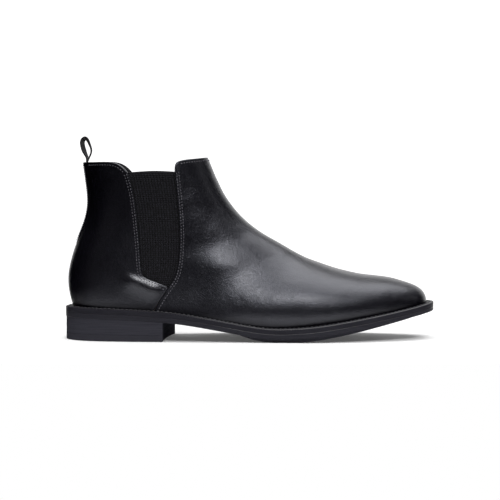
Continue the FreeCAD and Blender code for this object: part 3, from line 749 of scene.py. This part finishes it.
BLACKS = (0.0013, 0.0010, 0.0026), (0.0017, 0.0013, 0.0032)
LINING_TONES = (0.008, 0.0078, 0.0085), (0.012, 0.0115, 0.0125)
SOCK_TONES = (0.026, 0.024, 0.024), (0.04, 0.037, 0.036)
SOLE_TONES = (0.020, 0.0195, 0.0250), (0.028, 0.0275, 0.0345)
WELT_TONES = (0.016, 0.0156, 0.0205), (0.022, 0.0215, 0.0275)
# a near-black tone: painted shade on the welt's inner part, where it meets the upper
WELT_PAINTED_SHADE = (0.0015, 0.0014, 0.0022)
LIFT_TONES = (0.033, 0.0325, 0.041), (0.046, 0.0455, 0.056)
RUBBER_TONES = (0.031, 0.0305, 0.038), (0.044, 0.0435, 0.053)
# the black sewing thread is given paler tones: a painted sheen
SHEEN_PAINTED_THREAD_TONES = (0.075, 0.072, 0.086), (0.14, 0.136, 0.158)
WELT_THREAD_TONES = (0.04, 0.039, 0.045), (0.08, 0.078, 0.088)
TAPE_TONES = (0.008, 0.008, 0.010), (0.018, 0.018, 0.022)
ELASTIC_TONES = (0.001, 0.0009, 0.0020), (0.0180, 0.0172, 0.0245)
# HEM_TONE is the hem's own tone; the second colour is painted shade in the elastic's grooves
HEM_TONE, GROOVE_PAINTED_SHADE = (0.008, 0.0080, 0.0105), (0.0004, 0.0004, 0.0008)
CLOTH_TONES = (0.55, 0.53, 0.48), (0.66, 0.64, 0.60)
COUNTER_TONES = (0.30, 0.20, 0.12), (0.38, 0.27, 0.17)
BOARD_TONES = (0.34, 0.24, 0.15), (0.44, 0.33, 0.22)
CORK_TONES = (0.14, 0.08, 0.04), (0.42, 0.28, 0.16)
PICK_PITCH = 1.7
WEAVE_SPAN = 1.97292  # from one ridge of a weave to the next, in yarns

upper_look = polished_leather()
lining_look = leather("lining_leather", LINING_TONES, (0.5, 0.62), 0.02, 0.04, 0.2)
sock_look = leather("sock_leather", SOCK_TONES, (0.45, 0.6), 0.02, 0.03, 0.65)
edge_look = edge_paint("sole_edge", SOLE_TONES, (40, 40, 900))
lift_look = edge_paint("heel_lift_edge", LIFT_TONES, (30, 30, 1300), 0.0)
welt_look = welt_paint()
rubber_look = rubber()
thread_look = fabric("thread", SHEEN_PAINTED_THREAD_TONES, 0.12, 0.2)
welt_thread_look = fabric("welt_thread", WELT_THREAD_TONES, 0.15, 0.2)
tape_look = fabric("tape", TAPE_TONES, 0.4)
elastic_look = elastic()


# ---- upper ----
OVERLAP, SWELL, ANKLE_SWELL, INSTEP_SWELL = 0.35, 1.9, 3.4, 1.2


def attach(obj, node):
    """A piece of the boot's body that stands for a CAD node."""
    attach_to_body(obj, "boot")
    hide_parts(node)


def ripple_set(seed, count, shortest, longest):
    """Plane waves in random directions: lengths, wave vectors and phases."""
    rng = np.random.default_rng(seed)
    length = rng.uniform(shortest, longest, count)
    way = rng.normal(size=(count, 3))
    way *= (2 * PI / length / np.linalg.norm(way, axis=1))[:, None]
    return length, way, rng.uniform(0, 2 * PI, count)


def ripple(p, waves_in, slope):
    """Height of a set of plane waves, each of them as steep as slope."""
    length, way, start = waves_in
    return (np.sin(p @ way.T + start) * length).sum(-1) * slope / (2 * PI)


def hill(x, middle, width):
    """1 at the middle, fading out on both sides over about width."""
    return np.exp(-((x - middle) / width) ** 2)


HIDE_WAVES, HIDE_SLOPE = ripple_set(11, 10, 13, 34), 0.007
CREASES, CREASE_SLOPE = ripple_set(5, 14, 4.5, 9), 0.015
HEEL_AREA = -100.0                   # x that the back strip lies behind
STRIP_FLAT, STRIP_CLEAR = 6.0, 14.0  # the hide is flat this near the back seam, and wavy this far from it


def waves(p):
    """The hide is never quite flat: shallow waves one to three centimetres long, none under the strip."""
    under_strip = (p[..., 0] < HEEL_AREA) * (1 - ramp(np.abs(p[..., 1] - CENTRE_Y), STRIP_FLAT, STRIP_CLEAR))
    return ripple(p, HIDE_WAVES, HIDE_SLOPE) * (1 - under_strip)


def creases(p):
    """Fine creases where the ankle and the instep bend."""
    return hill(p[..., 0], 5, 34) * hill(p[..., 2], 55, 26) * ripple(p, CREASES, CREASE_SLOPE)


# the swell below the elastic lies along this side-view line, and fades over these lengths at its ends
FOLD_FROM, FOLD_TO, FOLD_START, FOLD_END = np.array([-98.6, 54.6]), np.array([-67.6, 41.9]), 7.0, 12.0
SWELL_MIDDLE, SWELL_WIDTH, TAUT_MIDDLE, TAUT_WIDTH = 2.9, 3.4, 0.2, 2.4
LOWER_SPREAD = 2.4                   # how much wider the swell is on its lower side


def below_elastic(p, middle, width):
    """1 on a band that lies middle below the fold line, fading out across it and towards its ends."""
    length = np.linalg.norm(FOLD_TO - FOLD_FROM)
    along = (FOLD_TO - FOLD_FROM) / length
    gap = p[..., [0, 2]] - FOLD_FROM
    s, below = gap @ along, gap @ np.array([along[1], -along[0]])
    ends = ramp(s, -FOLD_START, FOLD_START) * (1 - ramp(s, length - FOLD_END, length))
    return ends * hill(below, middle, np.where(below > middle, LOWER_SPREAD, 1.0) * width)


def quarter_lift(p):
    """The leather swells just below the elastic's lower rear edge, where the elastic pulls it in."""
    return SWELL * below_elastic(p, SWELL_MIDDLE, SWELL_WIDTH) + waves(p)


def tautness(p):
    """Where the swell stretches the leather and makes it shine."""
    return below_elastic(p, TAUT_MIDDLE, TAUT_WIDTH)


ANKLE, ANKLE_REAR, ANKLE_FRONT, ANKLE_UP, ANKLE_DOWN = (-22.0, 58.5), 18.0, 34.0, 13.0, 26.0
INSTEP, INSTEP_LONG, INSTEP_HIGH = (22.0, 74.0), 14.0, 13.0
OVERLAP_FULL, OVERLAP_GONE = 2.0, 9.0


def vamp_lift(p):
    """The vamp rises where it lies on the quarters, and swells at the ankle and the instep."""
    x, z = p[..., 0], p[..., 2]
    over = 1 - ramp(AHEAD_OF_SEAM(x, z), OVERLAP_FULL, OVERLAP_GONE)
    long, high = np.where(x > ANKLE[0], ANKLE_FRONT, ANKLE_REAR), np.where(z > ANKLE[1], ANKLE_UP, ANKLE_DOWN)
    ankle = hill(x, ANKLE[0], long) * hill(z, ANKLE[1], high)
    instep = hill(x, INSTEP[0], INSTEP_LONG) * hill(z, INSTEP[1], INSTEP_HIGH)
    return OVERLAP * over + ANKLE_SWELL * ankle + INSTEP_SWELL * instep + waves(p) + creases(p)


def dullness(p):
    """The leather is less polished just above the welt."""
    return 1 - ramp(bottom_edge(p), 1.0, 9.0)


attach(panel("vamp_leather", vamp_field, upper_look.material, lift=vamp_lift, marks={"dull": dullness}),
       "vamp")

PAST_SEAM = 0.06      # radians that each quarter's grid runs past the back seam
QUARTER_ENDS = {"lateral": (0.0, PI + PAST_SEAM), "medial": (PI - PAST_SEAM, 2 * PI)}
for side, name in SIDES:
    quarter = panel(name + "_quarter_leather", quarter_field(side), upper_look.material, lift=quarter_lift,
                    phi_ends=QUARTER_ENDS[name], phi_count=130, t_ends=(TOP_END, QUARTER_END),
                    marks={"taut": tautness, "dull": dullness})
    attach(quarter, name + "_quarter")

STRIP_SKIVED, SKIVE = 0.2, 9.0       # the strip's thickness at its foot, and the height over which it thins
STRIP_END, STRIP_TURN = 8.0, 0.3     # the last section it reaches, and how far its grid runs either way


def strip_field(p):
    """Distance inside the back strip."""
    across = STRIP_WIDTH / 2 - np.abs(p[..., 1] - CENTRE_Y)
    return np.minimum(across, np.minimum(p[..., 2] - STRIP_FOOT, STRIP_TOP - p[..., 2]))


def strip_skive(p):
    """The strip is thinned towards its foot."""
    return (STRIP_SKIVED - STRIP) * (1 - ramp(p[..., 2], STRIP_FOOT, STRIP_FOOT + SKIVE))


attach(panel("back_strip_leather", strip_field, upper_look.material, outer=-STRIP, inner=-0.02, edge=0.15,
             phi_ends=(PI - STRIP_TURN, PI + STRIP_TURN), phi_count=34, t_ends=(TOP_END, STRIP_END),
             t_step=1 / 16, lift=strip_skive), "back_strip")

LINING_DROP, WINDOW_GAP = 0.3, 1.0   # how far the lining stays below the topline and around the elastic


def lining_field(p):
    """Distance inside the lining's cut edge."""
    top = signed(LINING_SHAPE, p[..., 0], p[..., 2]) - LINING_DROP
    window = -signed(WINDOW, p[..., 0], p[..., 2]) - WINDOW_GAP
    return np.minimum(np.minimum(top, window), bottom_edge(p, 0.0))


def to_leather(p):
    """The lining comes out to meet the leather along the topline."""
    top = signed(LINING_SHAPE, p[..., 0], p[..., 2])
    return (MID_LAYER - 0.06) * (1 - ramp(top, 1.2, 3.2))


for name, way, ends, last in (("vamp", 1, (-PI, PI), TOE_END), ("quarter", -1, (0.0, 2 * PI), QUARTER_END)):
    lining = panel(name + "_lining_leather",
                   lambda p: np.minimum(lining_field(p), way * SEAM_TO_SKY(p[..., 0], p[..., 2]) - SEAM_GAP),
                   lining_look.material, outer=DEEP, inner=INSIDE, edge=0.3, lift=to_leather, phi_ends=ends,
                   phi_count=150, t_step=1 / 8, t_ends=(TOP_END, last))
    attach(lining, name + "_lining")


# ---- elastic ----
GORE_WIDTH, RIB_PITCH, RIB_HEIGHT, HEM, HEM_ROLL = 42.0, 2.2, 0.45, 2.4, 0.25
GROOVE_DEPTH = UPPER + 0.25          # below the leather's face
TUCK = 4.0                           # how far the elastic runs under the leather on each side


def gore(name, side):
    """The elastic panel as a ribbed grid that runs under the leather around its window."""
    columns, rows = 235, 110
    foot = 40.0
    back = np.concatenate([smooth(GORE_BACK[:7], 60), [(-86.9, foot)]])[::-1]
    front = np.concatenate([[(-66.5, foot)], smooth(GORE_FRONT[1:], 60)])
    top = smooth(GORE_TOP, 30)
    u, v = np.meshgrid(np.linspace(0, 1, columns), np.linspace(0, 1, rows))
    top_z = np.interp(np.interp(u, [0, 1], [-103.5, -57.0]), top[:, 0], top[:, 1])
    z = top_z * (1 - v) + np.interp(u, [0, 1], [47.5, 38.5]) * v
    left = np.interp(z, back[:, 1], back[:, 0]) - TUCK
    right = np.interp(z, front[:, 1], front[:, 0]) + TUCK
    x = left + (right - left) * u
    t, phi = on_side(np.stack([x.ravel(), z.ravel()], 1), side)
    below = top_z - z
    hem = 1 - ramp(below, HEM - 0.3, HEM + 0.3)
    cord = np.abs(np.sin(PI * GORE_WIDTH / RIB_PITCH * u)) ** 0.8
    rolled = HEM_ROLL * hem * np.sin(PI * np.clip(below / HEM, 0.12, 1)) ** 0.5
    raised = cord * RIB_HEIGHT * (1 - hem) + rolled
    verts = np.concatenate([skin(t, phi, GROOVE_DEPTH - raised.ravel()), skin(t, phi, DEEP)])
    size = columns * rows
    ids = np.arange(size).reshape(rows, columns)
    cells = np.stack([ids[:-1, :-1], ids[:-1, 1:], ids[1:, 1:], ids[1:, :-1]], -1).reshape(-1, 4)
    faces = [tuple(q) for q in cells]
    faces += [tuple(size + i for i in reversed(q)) for q in faces]
    ring = np.concatenate([ids[0], ids[1:, -1], ids[-1, -2::-1], ids[-2:0:-1, 0]])
    faces += [(a, b, size + b, size + a) for a, b in zip(np.roll(ring, 1), ring)]
    # marks the cords and the hem for painted light, and the grooves between the cords for painted shade
    painted_cord_light = cord * (1 - hem) + hem
    return new_object(name, verts, faces, elastic_look.material,
                      {"hem": np.tile(hem.ravel(), 2), "cord": np.tile(painted_cord_light.ravel(), 2)})


for side, name in SIDES:
    attach(gore(name + "_elastic", side), name + "_gore")


# ---- stitching ----
FIRST_ROW, SECOND_ROW, TOP_ROW, SEAM_ROW = 1.2, 3.1, 2.6, 3.0      # how far each row lies from its edge
STRIP_ROW, WELT_ROW = 4.2, 3.2       # from the back seam, and from the upper
CORNER = 0.6                         # the rear rows end this far before the side seam
gore_back, gore_front = smooth(GORE_BACK, 120), smooth(GORE_FRONT, 100)


def below_top(line):
    """The part of a side-view line that lies below the topline's row."""
    return line[line[:, 1] < np.interp(line[:, 0], TOPLINE[:, 0], TOPLINE[:, 1]) - TOP_ROW + 0.5]


for side, name in SIDES:
    rows = []
    for distance in (FIRST_ROW, SECOND_ROW):
        rear = below_top(beside(gore_back, distance))
        rear = rear[AHEAD_OF_SEAM(rear[:, 0], rear[:, 1]) < -CORNER]
        rows.append(side_row(rear, side, quarter_lift))
        rows.append(side_row(below_top(beside(gore_front, distance)), side, vamp_lift))
    attach(sew(name + "_elastic_stitches", rows, thread_look.material),
           name + "_gore_stitching")

seam_line = beside(smooth(SIDE_SEAM, 40), SEAM_ROW)[8:]
seam_rows = [side_row(seam_line, side, vamp_lift) for side in (LATERAL, MEDIAL)]
attach(sew("side_seam_stitches", seam_rows, thread_look.material), "side_seam_stitching")


def level_row(top_line, x_ends, phi_ends):
    """A row of stitches below a topline, followed around the boot between two places along it."""
    row = beside(top_line, TOP_ROW)
    phi = np.linspace(*phi_ends, 300)
    t = crossing(0.0, lambda x: np.interp(x, row[:, 0], row[:, 1]), (0.0, 4.0), phi)
    p, n = skin(t, phi), normals(t, phi)
    keep = (p[:, 0] > x_ends[0]) & (p[:, 0] < x_ends[1])
    return thread_row((p + waves(p)[:, None] * n)[keep], n[keep], STITCH_PITCH, STITCH_LENGTH, THREAD)


STRIP_EDGE, QUARTER_ROW_END, VAMP_ROW_END = -132.5, -102.2, -57.2
quarter_top = smooth(QUARTER_TOP, 80)
top_rows = [level_row(smooth(VAMP_TOP, 80), (VAMP_ROW_END, 0.0), (-PI / 2, PI / 2))]
for ends in ((1.2, PI), (PI, 2 * PI - 1.2)):
    top_rows.append(level_row(quarter_top, (STRIP_EDGE, QUARTER_ROW_END), ends))
attach(sew("topline_stitches", top_rows, thread_look.material), "topline_stitching")


def strip_row(y):
    """A row of small stitches up the back strip."""
    z = np.linspace(STRIP_FOOT + 1.5, STRIP_TOP - 1.2, 120)
    sections = np.linspace(0, STRIP_END, 200)
    t = np.interp(-z, -skin(sections, np.full(len(sections), PI))[:, 2], sections)
    t, phi = locate(np.stack([np.full(len(z), y), z], 1), [1, 2], t, np.full(len(z), PI))
    return thread_row(skin(t, phi, -STRIP), normals(t, phi, -STRIP), pitch=1.9, length=1.5, width=0.5)


strip_rows = [strip_row(CENTRE_Y - STRIP_ROW), strip_row(CENTRE_Y + STRIP_ROW)]
attach(sew("back_strip_stitches", strip_rows, thread_look.material), "back_strip_stitching")


# ---- sole ----
FEATHER = loop_at(0.0, seat, 2400)
SOLE_EDGE = outward(FEATHER, reach(FEATHER[:, 0]))
LAYER_GAP = 0.02      # between the layers of the sole


def welt_line(x):
    """Height of the welt's bottom face."""
    return seat(x) - WELT


def outsole_line(x):
    """Height of the outsole's bottom face, which is thinner towards the toe."""
    return welt_line(x) - OUTSOLE + TOE_THINNING * np.clip((x - 60) / 85, 0, 1)


def welt_ring():
    """The welt: a ring under the upper's edge, its outer rim marked by a fudge wheel."""
    mark_pitch, mark_depth = 2.1, 0.22
    inside, low, n = -6.0, LAYER_GAP - WELT, len(FEATHER)
    u = distances(FEATHER)
    wheel = np.clip(np.sin(2 * PI * u / mark_pitch) * 1.6, -1, 1) * 0.5 + 0.5
    # each ring's place, in millimetres inwards or as a share of the reach outwards; its height above the
    # seat; and how deeply the wheel marks it
    profile = [(inside, low, 0), (inside, 0.0, 0), (-1.0, 0.0, 0), (0.35, 0.0, 0), (0.66, 0.04, 0.2),
               (0.80, 0.0, 0.8), (0.90, -0.16, 1.0), (0.97, -0.45, 1.0), (1.0, -0.9, 0.3), (1.0, -1.25, 0),
               (1.0, -2.4, 0), (1.0, low + 0.33, 0), (1.0, low + 0.13, 0), (0.985, low + 0.02, 0),
               (0.96, low, 0)]
    rings, rim, inner = [], [], []
    for place, rise, marked in profile:
        rim.append(marked * ramp(FEATHER[:, 0], WAX_STARTS, WAX_FULL))
        # the inner part beside the upper is marked for painted shade
        inner.append(np.full(n, float(place < 0.6)))
        out = np.full(n, place) if place < 0 else place * reach(FEATHER[:, 0])
        sunk = mark_depth * marked * wheel
        ring = outward(FEATHER, out - sunk * (place > 0.9))
        rings.append(np.c_[ring, seat(ring[:, 0]) + rise - sunk])
    last = (len(rings) - 1) * n
    faces = quads(len(rings), n) + [(last + i, last + (i + 1) % n, (i + 1) % n, i) for i in range(n)]
    return new_object("welt_strip", np.concatenate(rings), faces, welt_look.material,
                      {"rim": np.concatenate(rim), "inner": np.concatenate(inner)})


attach(welt_ring(), "welt")
attach(slab("outsole_leather", SOLE_EDGE[::2], lambda x: welt_line(x) - LAYER_GAP, outsole_line,
            edge_look.material, 0.45, 16), "outsole")

row_plan = outward(FEATHER, WELT_ROW)[::2]
row_plan = np.concatenate([row_plan, row_plan[:1]])
tilt = np.gradient(SEAT_CURVE[:, 1], SEAT_CURVE[:, 0])
tilt = np.interp(row_plan[:, 0], SEAT_CURVE[:, 0], tilt)
row_out = np.stack([-tilt, np.zeros(len(tilt)), np.ones(len(tilt))], 1) / np.sqrt(1 + tilt**2)[:, None]
welt_row = thread_row(np.c_[row_plan, seat(row_plan[:, 0])], row_out, pitch=3.6, length=2.9, width=0.9,
                      height=0.55, sink=0.2)
attach(sew("welt_stitches", [welt_row], welt_thread_look.material), "welt_stitching")


def cut_outline(outline, keep, ends):
    """The part of a closed outline where keep(points) holds, closed through the ends."""
    inside = keep(outline)
    start = int(np.argmax(inside & ~np.roll(inside, 1)))
    turned = np.roll(outline, -start, axis=0)
    kept = turned[:int(np.argmin(np.append(np.roll(inside, -start), False)))]
    return np.concatenate([kept, ends(kept[-1], kept[0])])


def flat_at(height):
    """A level face, as a function of x."""
    return lambda x: np.full(len(x), height)


# ---- heel and tread ----
SOLE_HALF, HEEL_SPINE = 45.0, 0.6


def breast(y):
    """X of the heel's hollow, slanted front face."""
    f = y / SOLE_HALF
    middle, slant = (BREAST_LATERAL + BREAST_MEDIAL) / 2, (BREAST_MEDIAL - BREAST_LATERAL) / 2
    return middle - BREAST_HOLLOW * (1 - f * f) + slant * f


def heel_face(a, b):
    """Points along the breast between two ends."""
    y = np.linspace(a[1], b[1], 160)[1:-1]
    return np.stack([breast(y), y], 1)


heel_outline = outward(FEATHER, reach(FEATHER[:, 0]) - HEEL_INSET)[::2]
heel_outline = cut_outline(heel_outline, lambda p: p[:, 0] < breast(p[:, 1]), heel_face)
lower, middle, upper = TOP_PIECE, TOP_PIECE + LIFT, TOP_PIECE + 2 * LIFT
for name, bottom, top in (("lower", lower, flat_at(middle - LAYER_GAP)),
                          ("middle", middle, flat_at(upper - LAYER_GAP)),
                          ("upper", upper, lambda x: outsole_line(x) - LAYER_GAP)):
    attach(slab(name + "_heel_lift", heel_outline, top, flat_at(bottom), lift_look.material, 0.05, 10,
                HEEL_SPINE), "heel_lift_" + name)
attach(slab("heel_top_piece_rubber", heel_outline, flat_at(TOP_PIECE - LAYER_GAP), flat_at(0.0),
            rubber_look.material, 0.3, 10, HEEL_SPINE), "heel_top_piece")


def tread_line(x):
    """Height of the forepart's ground face."""
    return np.interp(x, *zip(*TREAD_REAR, *TREAD_FORE))


def across_at(x, count):
    """A straight cut across a plan outline."""
    return lambda a, b: np.stack([np.full(count, x), np.linspace(a[1], b[1], count + 2)[1:-1]], 1)


tread_outline = outward(FEATHER, reach(FEATHER[:, 0]) - TREAD_INSET)[::2]
tread_outline = cut_outline(tread_outline, lambda p: p[:, 0] > TREAD_ENDS[0], across_at(TREAD_ENDS[0], 100))
tread_outline = cut_outline(tread_outline, lambda p: p[:, 0] < TREAD_ENDS[1], across_at(TREAD_ENDS[1], 60))
attach(slab("forepart_tread_rubber", tread_outline, lambda x: outsole_line(x) + LAYER_GAP, tread_line,
            rubber_look.material, 0.12, 24), "forepart_tread")


# ---- sock ----
def foam_line(x):
    """Height of the board's top face, with the heel pad on it."""
    return seat(x) + BOARD + FOAM * np.clip((FOAM_ENDS[1] - x) / (FOAM_ENDS[1] - FOAM_ENDS[0]), 0, 1)


def sock_line(x):
    return foam_line(x) + SOCK


attach(slab("insock_leather", loop_at(INSIDE + 0.15, sock_line, 700), sock_line,
            lambda x: foam_line(x) + 0.05, sock_look.material, 0.25, 16), "insock")


# ---- pull loop ----
LOOP_PIVOT = (-135.5, 147.6)
TAIL_THINNING = 0.55  # how much the stitching presses each tail
# the tape's middle line in side view, from the pivot, and its twist in degrees along it
LOOP_MIDDLE = [(0.0, -9.0), (0.1, -4.5), (1.1, -1.0), (1.0, 1.6), (-0.3, 4.6), (-1.7, 8.0), (-2.6, 11.2),
               (-2.9, 14.0), (-2.1, 16.4), (-0.3, 17.5), (1.5, 16.0), (2.8, 13.2), (4.0, 10.0), (4.5, 7.4),
               (3.9, 4.4), (2.8, 1.8), (1.8, -0.8), (0.6, -4.5), (0.45, -9.0)]
LOOP_TWIST = [(0, 0), (0.18, 6), (0.30, 20), (0.45, 20), (0.55, 16), (0.66, 10), (0.8, 7), (1, 0)]


def pull_loop():
    """A tape folded double: both ends go down into the collar, and the loop above is slightly twisted."""
    path = smooth(LOOP_MIDDLE, 200)
    u = distances(path)
    f = u / u[-1]
    twist = np.radians(np.interp(f, *zip(*LOOP_TWIST)))
    thick = TAPE - TAIL_THINNING * ramp(-path[:, 1], 0, 3)
    d = np.gradient(path, axis=0)
    d /= np.linalg.norm(d, axis=1)[:, None]
    along = np.stack([d[:, 0], 0 * f, d[:, 1]], 1)
    flat = np.stack([d[:, 1], 0 * f, -d[:, 0]], 1)
    wide = np.cos(twist)[:, None] * np.array([0, 1.0, 0]) + np.sin(twist)[:, None] * flat
    deep = np.cross(along, wide)
    centre = np.stack([path[:, 0] + LOOP_PIVOT[0], np.full(len(f), CENTRE_Y), path[:, 1] + LOOP_PIVOT[1]], 1)
    corner = thick * 0.45
    lines = []
    for turn, (side, up) in enumerate(((1, 1), (-1, 1), (-1, -1), (1, -1))):
        for k in range(3):
            angle = (turn + k / 2) * PI / 2
            w = side * (TAPE_WIDTH / 2 - corner) + corner * math.cos(angle)
            h = up * (thick / 2 - corner) + corner * math.sin(angle)
            lines.append(centre + w[:, None] * wide + h[:, None] * deep)
    fill = 8
    top_row = [lines[2] * (1 - k / fill) + lines[3] * k / fill for k in range(1, fill)]
    low_row = [lines[8] * (1 - k / fill) + lines[9] * k / fill for k in range(1, fill)]
    lines = lines[:3] + top_row + lines[3:9] + low_row + lines[9:]
    size, last = len(lines), (len(f) - 1) * len(lines)
    faces = quads(len(f), size) + [tuple(range(size)), tuple(range(last, last + size))]
    return new_object("pull_loop_tape", np.stack(lines, 1).reshape(-1, 3), faces, tape_look.material)


loop = pull_loop()
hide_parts("pull_loop", "pull_loop_tail")
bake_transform(loop)


# ---- hidden parts ----
cloth_look = fabric("interlining_cloth", CLOTH_TONES, 0.4)
HIDDEN = {"vamp_interlining": cloth_look, "quarter_interlining": cloth_look, "toe_puff": puff_film(),
          "heel_counter": fibre("counter_fibre", COUNTER_TONES, (400, 400, 400)),
          "insole_board": fibre("insole_fibre", BOARD_TONES, (500, 500, 500)),
          "heel_pad": foam(), "bottom_filler": cork(), "shank": steel("shank_steel", 0.35),
          "shank_rivets": steel("rivet_steel", 0.3), "heel_nails": steel("nail_steel", 0.4),
          "top_piece_nails": steel("top_nail_steel", 0.3)}
for node, look in HIDDEN.items():
    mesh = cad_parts[node].data
    mesh.materials.clear()
    mesh.materials.append(look.material)


# ---- stage, in metres ----
scene = bpy.context.scene
CAMERA_AT, CAMERA_TILT, LENS = (0.0, -1.5, 0.145), 2.757, 130.5
# softboxes: where each stands, what it faces, its width and height, and its power in watts
SOFTBOXES = {
    "key": ((0.16, -1.12, 1.00), (0.0, 0.0, 0.06), (0.46, 0.30), 5.2),
    "key_halo": ((0.16, -1.06, 1.16), (0.0, 0.0, 0.06), (1.2, 0.48), 5.8),
    "rear": ((-1.2, -1.0, 0.40), (-0.1, 0.0, 0.1), (0.5, 0.5), 0.12),
    "low": ((-0.28, -1.62, 0.50), (0.0, 0.0, 0.06), (0.5, 0.3), 0.2),
    "top": ((0.05, 0.12, 1.6), (0.05, 0.12, 0.0), (2.2, 1.56), 38),
    "toe": ((1.2, -0.25, 0.62), (0.0, 0.0, 0.1), (0.3, 0.5), 0.35),
}
FLOOR_LEFT, FLOOR_RIGHT, FLOOR_FRONT, FLOOR_REAR, FLOOR_GLOW = -0.215, 0.3, -0.195, 0.6, 0.08
BACK, BACK_LEFT, BACK_RIGHT, BACK_LOW, BACK_TOP, BACK_GLOW = 2.6, -1.9, 3.5, -0.3, 2.4, 1.0

camera = bpy.data.objects.new("camera", bpy.data.cameras.new("camera"))
camera.data.lens, camera.data.sensor_width = LENS, 36.0
camera.location = CAMERA_AT
camera.rotation_euler = (math.radians(90 - CAMERA_TILT), 0, 0)
scene.collection.objects.link(camera)
scene.camera = camera

for name, (at, target, size, power) in SOFTBOXES.items():
    light = bpy.data.lights.new(name, "AREA")
    light.shape, light.size, light.size_y, light.energy = "RECTANGLE", size[0], size[1], power
    box = bpy.data.objects.new(name, light)
    box.location = at
    box.rotation_euler = (Vector(target) - Vector(at)).to_track_quat("-Z", "Y").to_euler()
    scene.collection.objects.link(box)

world = bpy.data.worlds.new("studio")
world.use_nodes = True
world.node_tree.nodes["Background"].inputs["Color"].default_value = (1, 1, 1, 1)
world.node_tree.nodes["Background"].inputs["Strength"].default_value = 1.0
world.cycles_visibility.glossy = False
world.cycles_visibility.diffuse = False
scene.world = world
scene.view_settings.view_transform = "Standard"


def paper(name, corners, glow):
    """A sheet of white studio paper with a little light of its own."""
    look = Look(name, (0.93, 0.93, 0.93), 0.8, Specular_IOR_Level=0.1, Emission_Strength=glow)
    look.set("Emission Color", (1, 1, 1, 1))
    look.bump((look.noise(40), 0.02))
    mesh = bpy.data.meshes.new(name)
    mesh.from_pydata(corners, [], [(0, 1, 2, 3)])
    mesh.materials.append(look.material)
    obj = bpy.data.objects.new(name, mesh)
    scene.collection.objects.link(obj)


paper("floor", [(FLOOR_LEFT, FLOOR_FRONT, 0), (FLOOR_RIGHT, FLOOR_FRONT, 0), (FLOOR_RIGHT, FLOOR_REAR, 0),
                (FLOOR_LEFT, FLOOR_REAR, 0)], FLOOR_GLOW)
paper("backdrop", [(BACK_LEFT, BACK, BACK_LOW), (BACK_RIGHT, BACK, BACK_LOW), (BACK_RIGHT, BACK, BACK_TOP),
                   (BACK_LEFT, BACK, BACK_TOP)], BACK_GLOW)
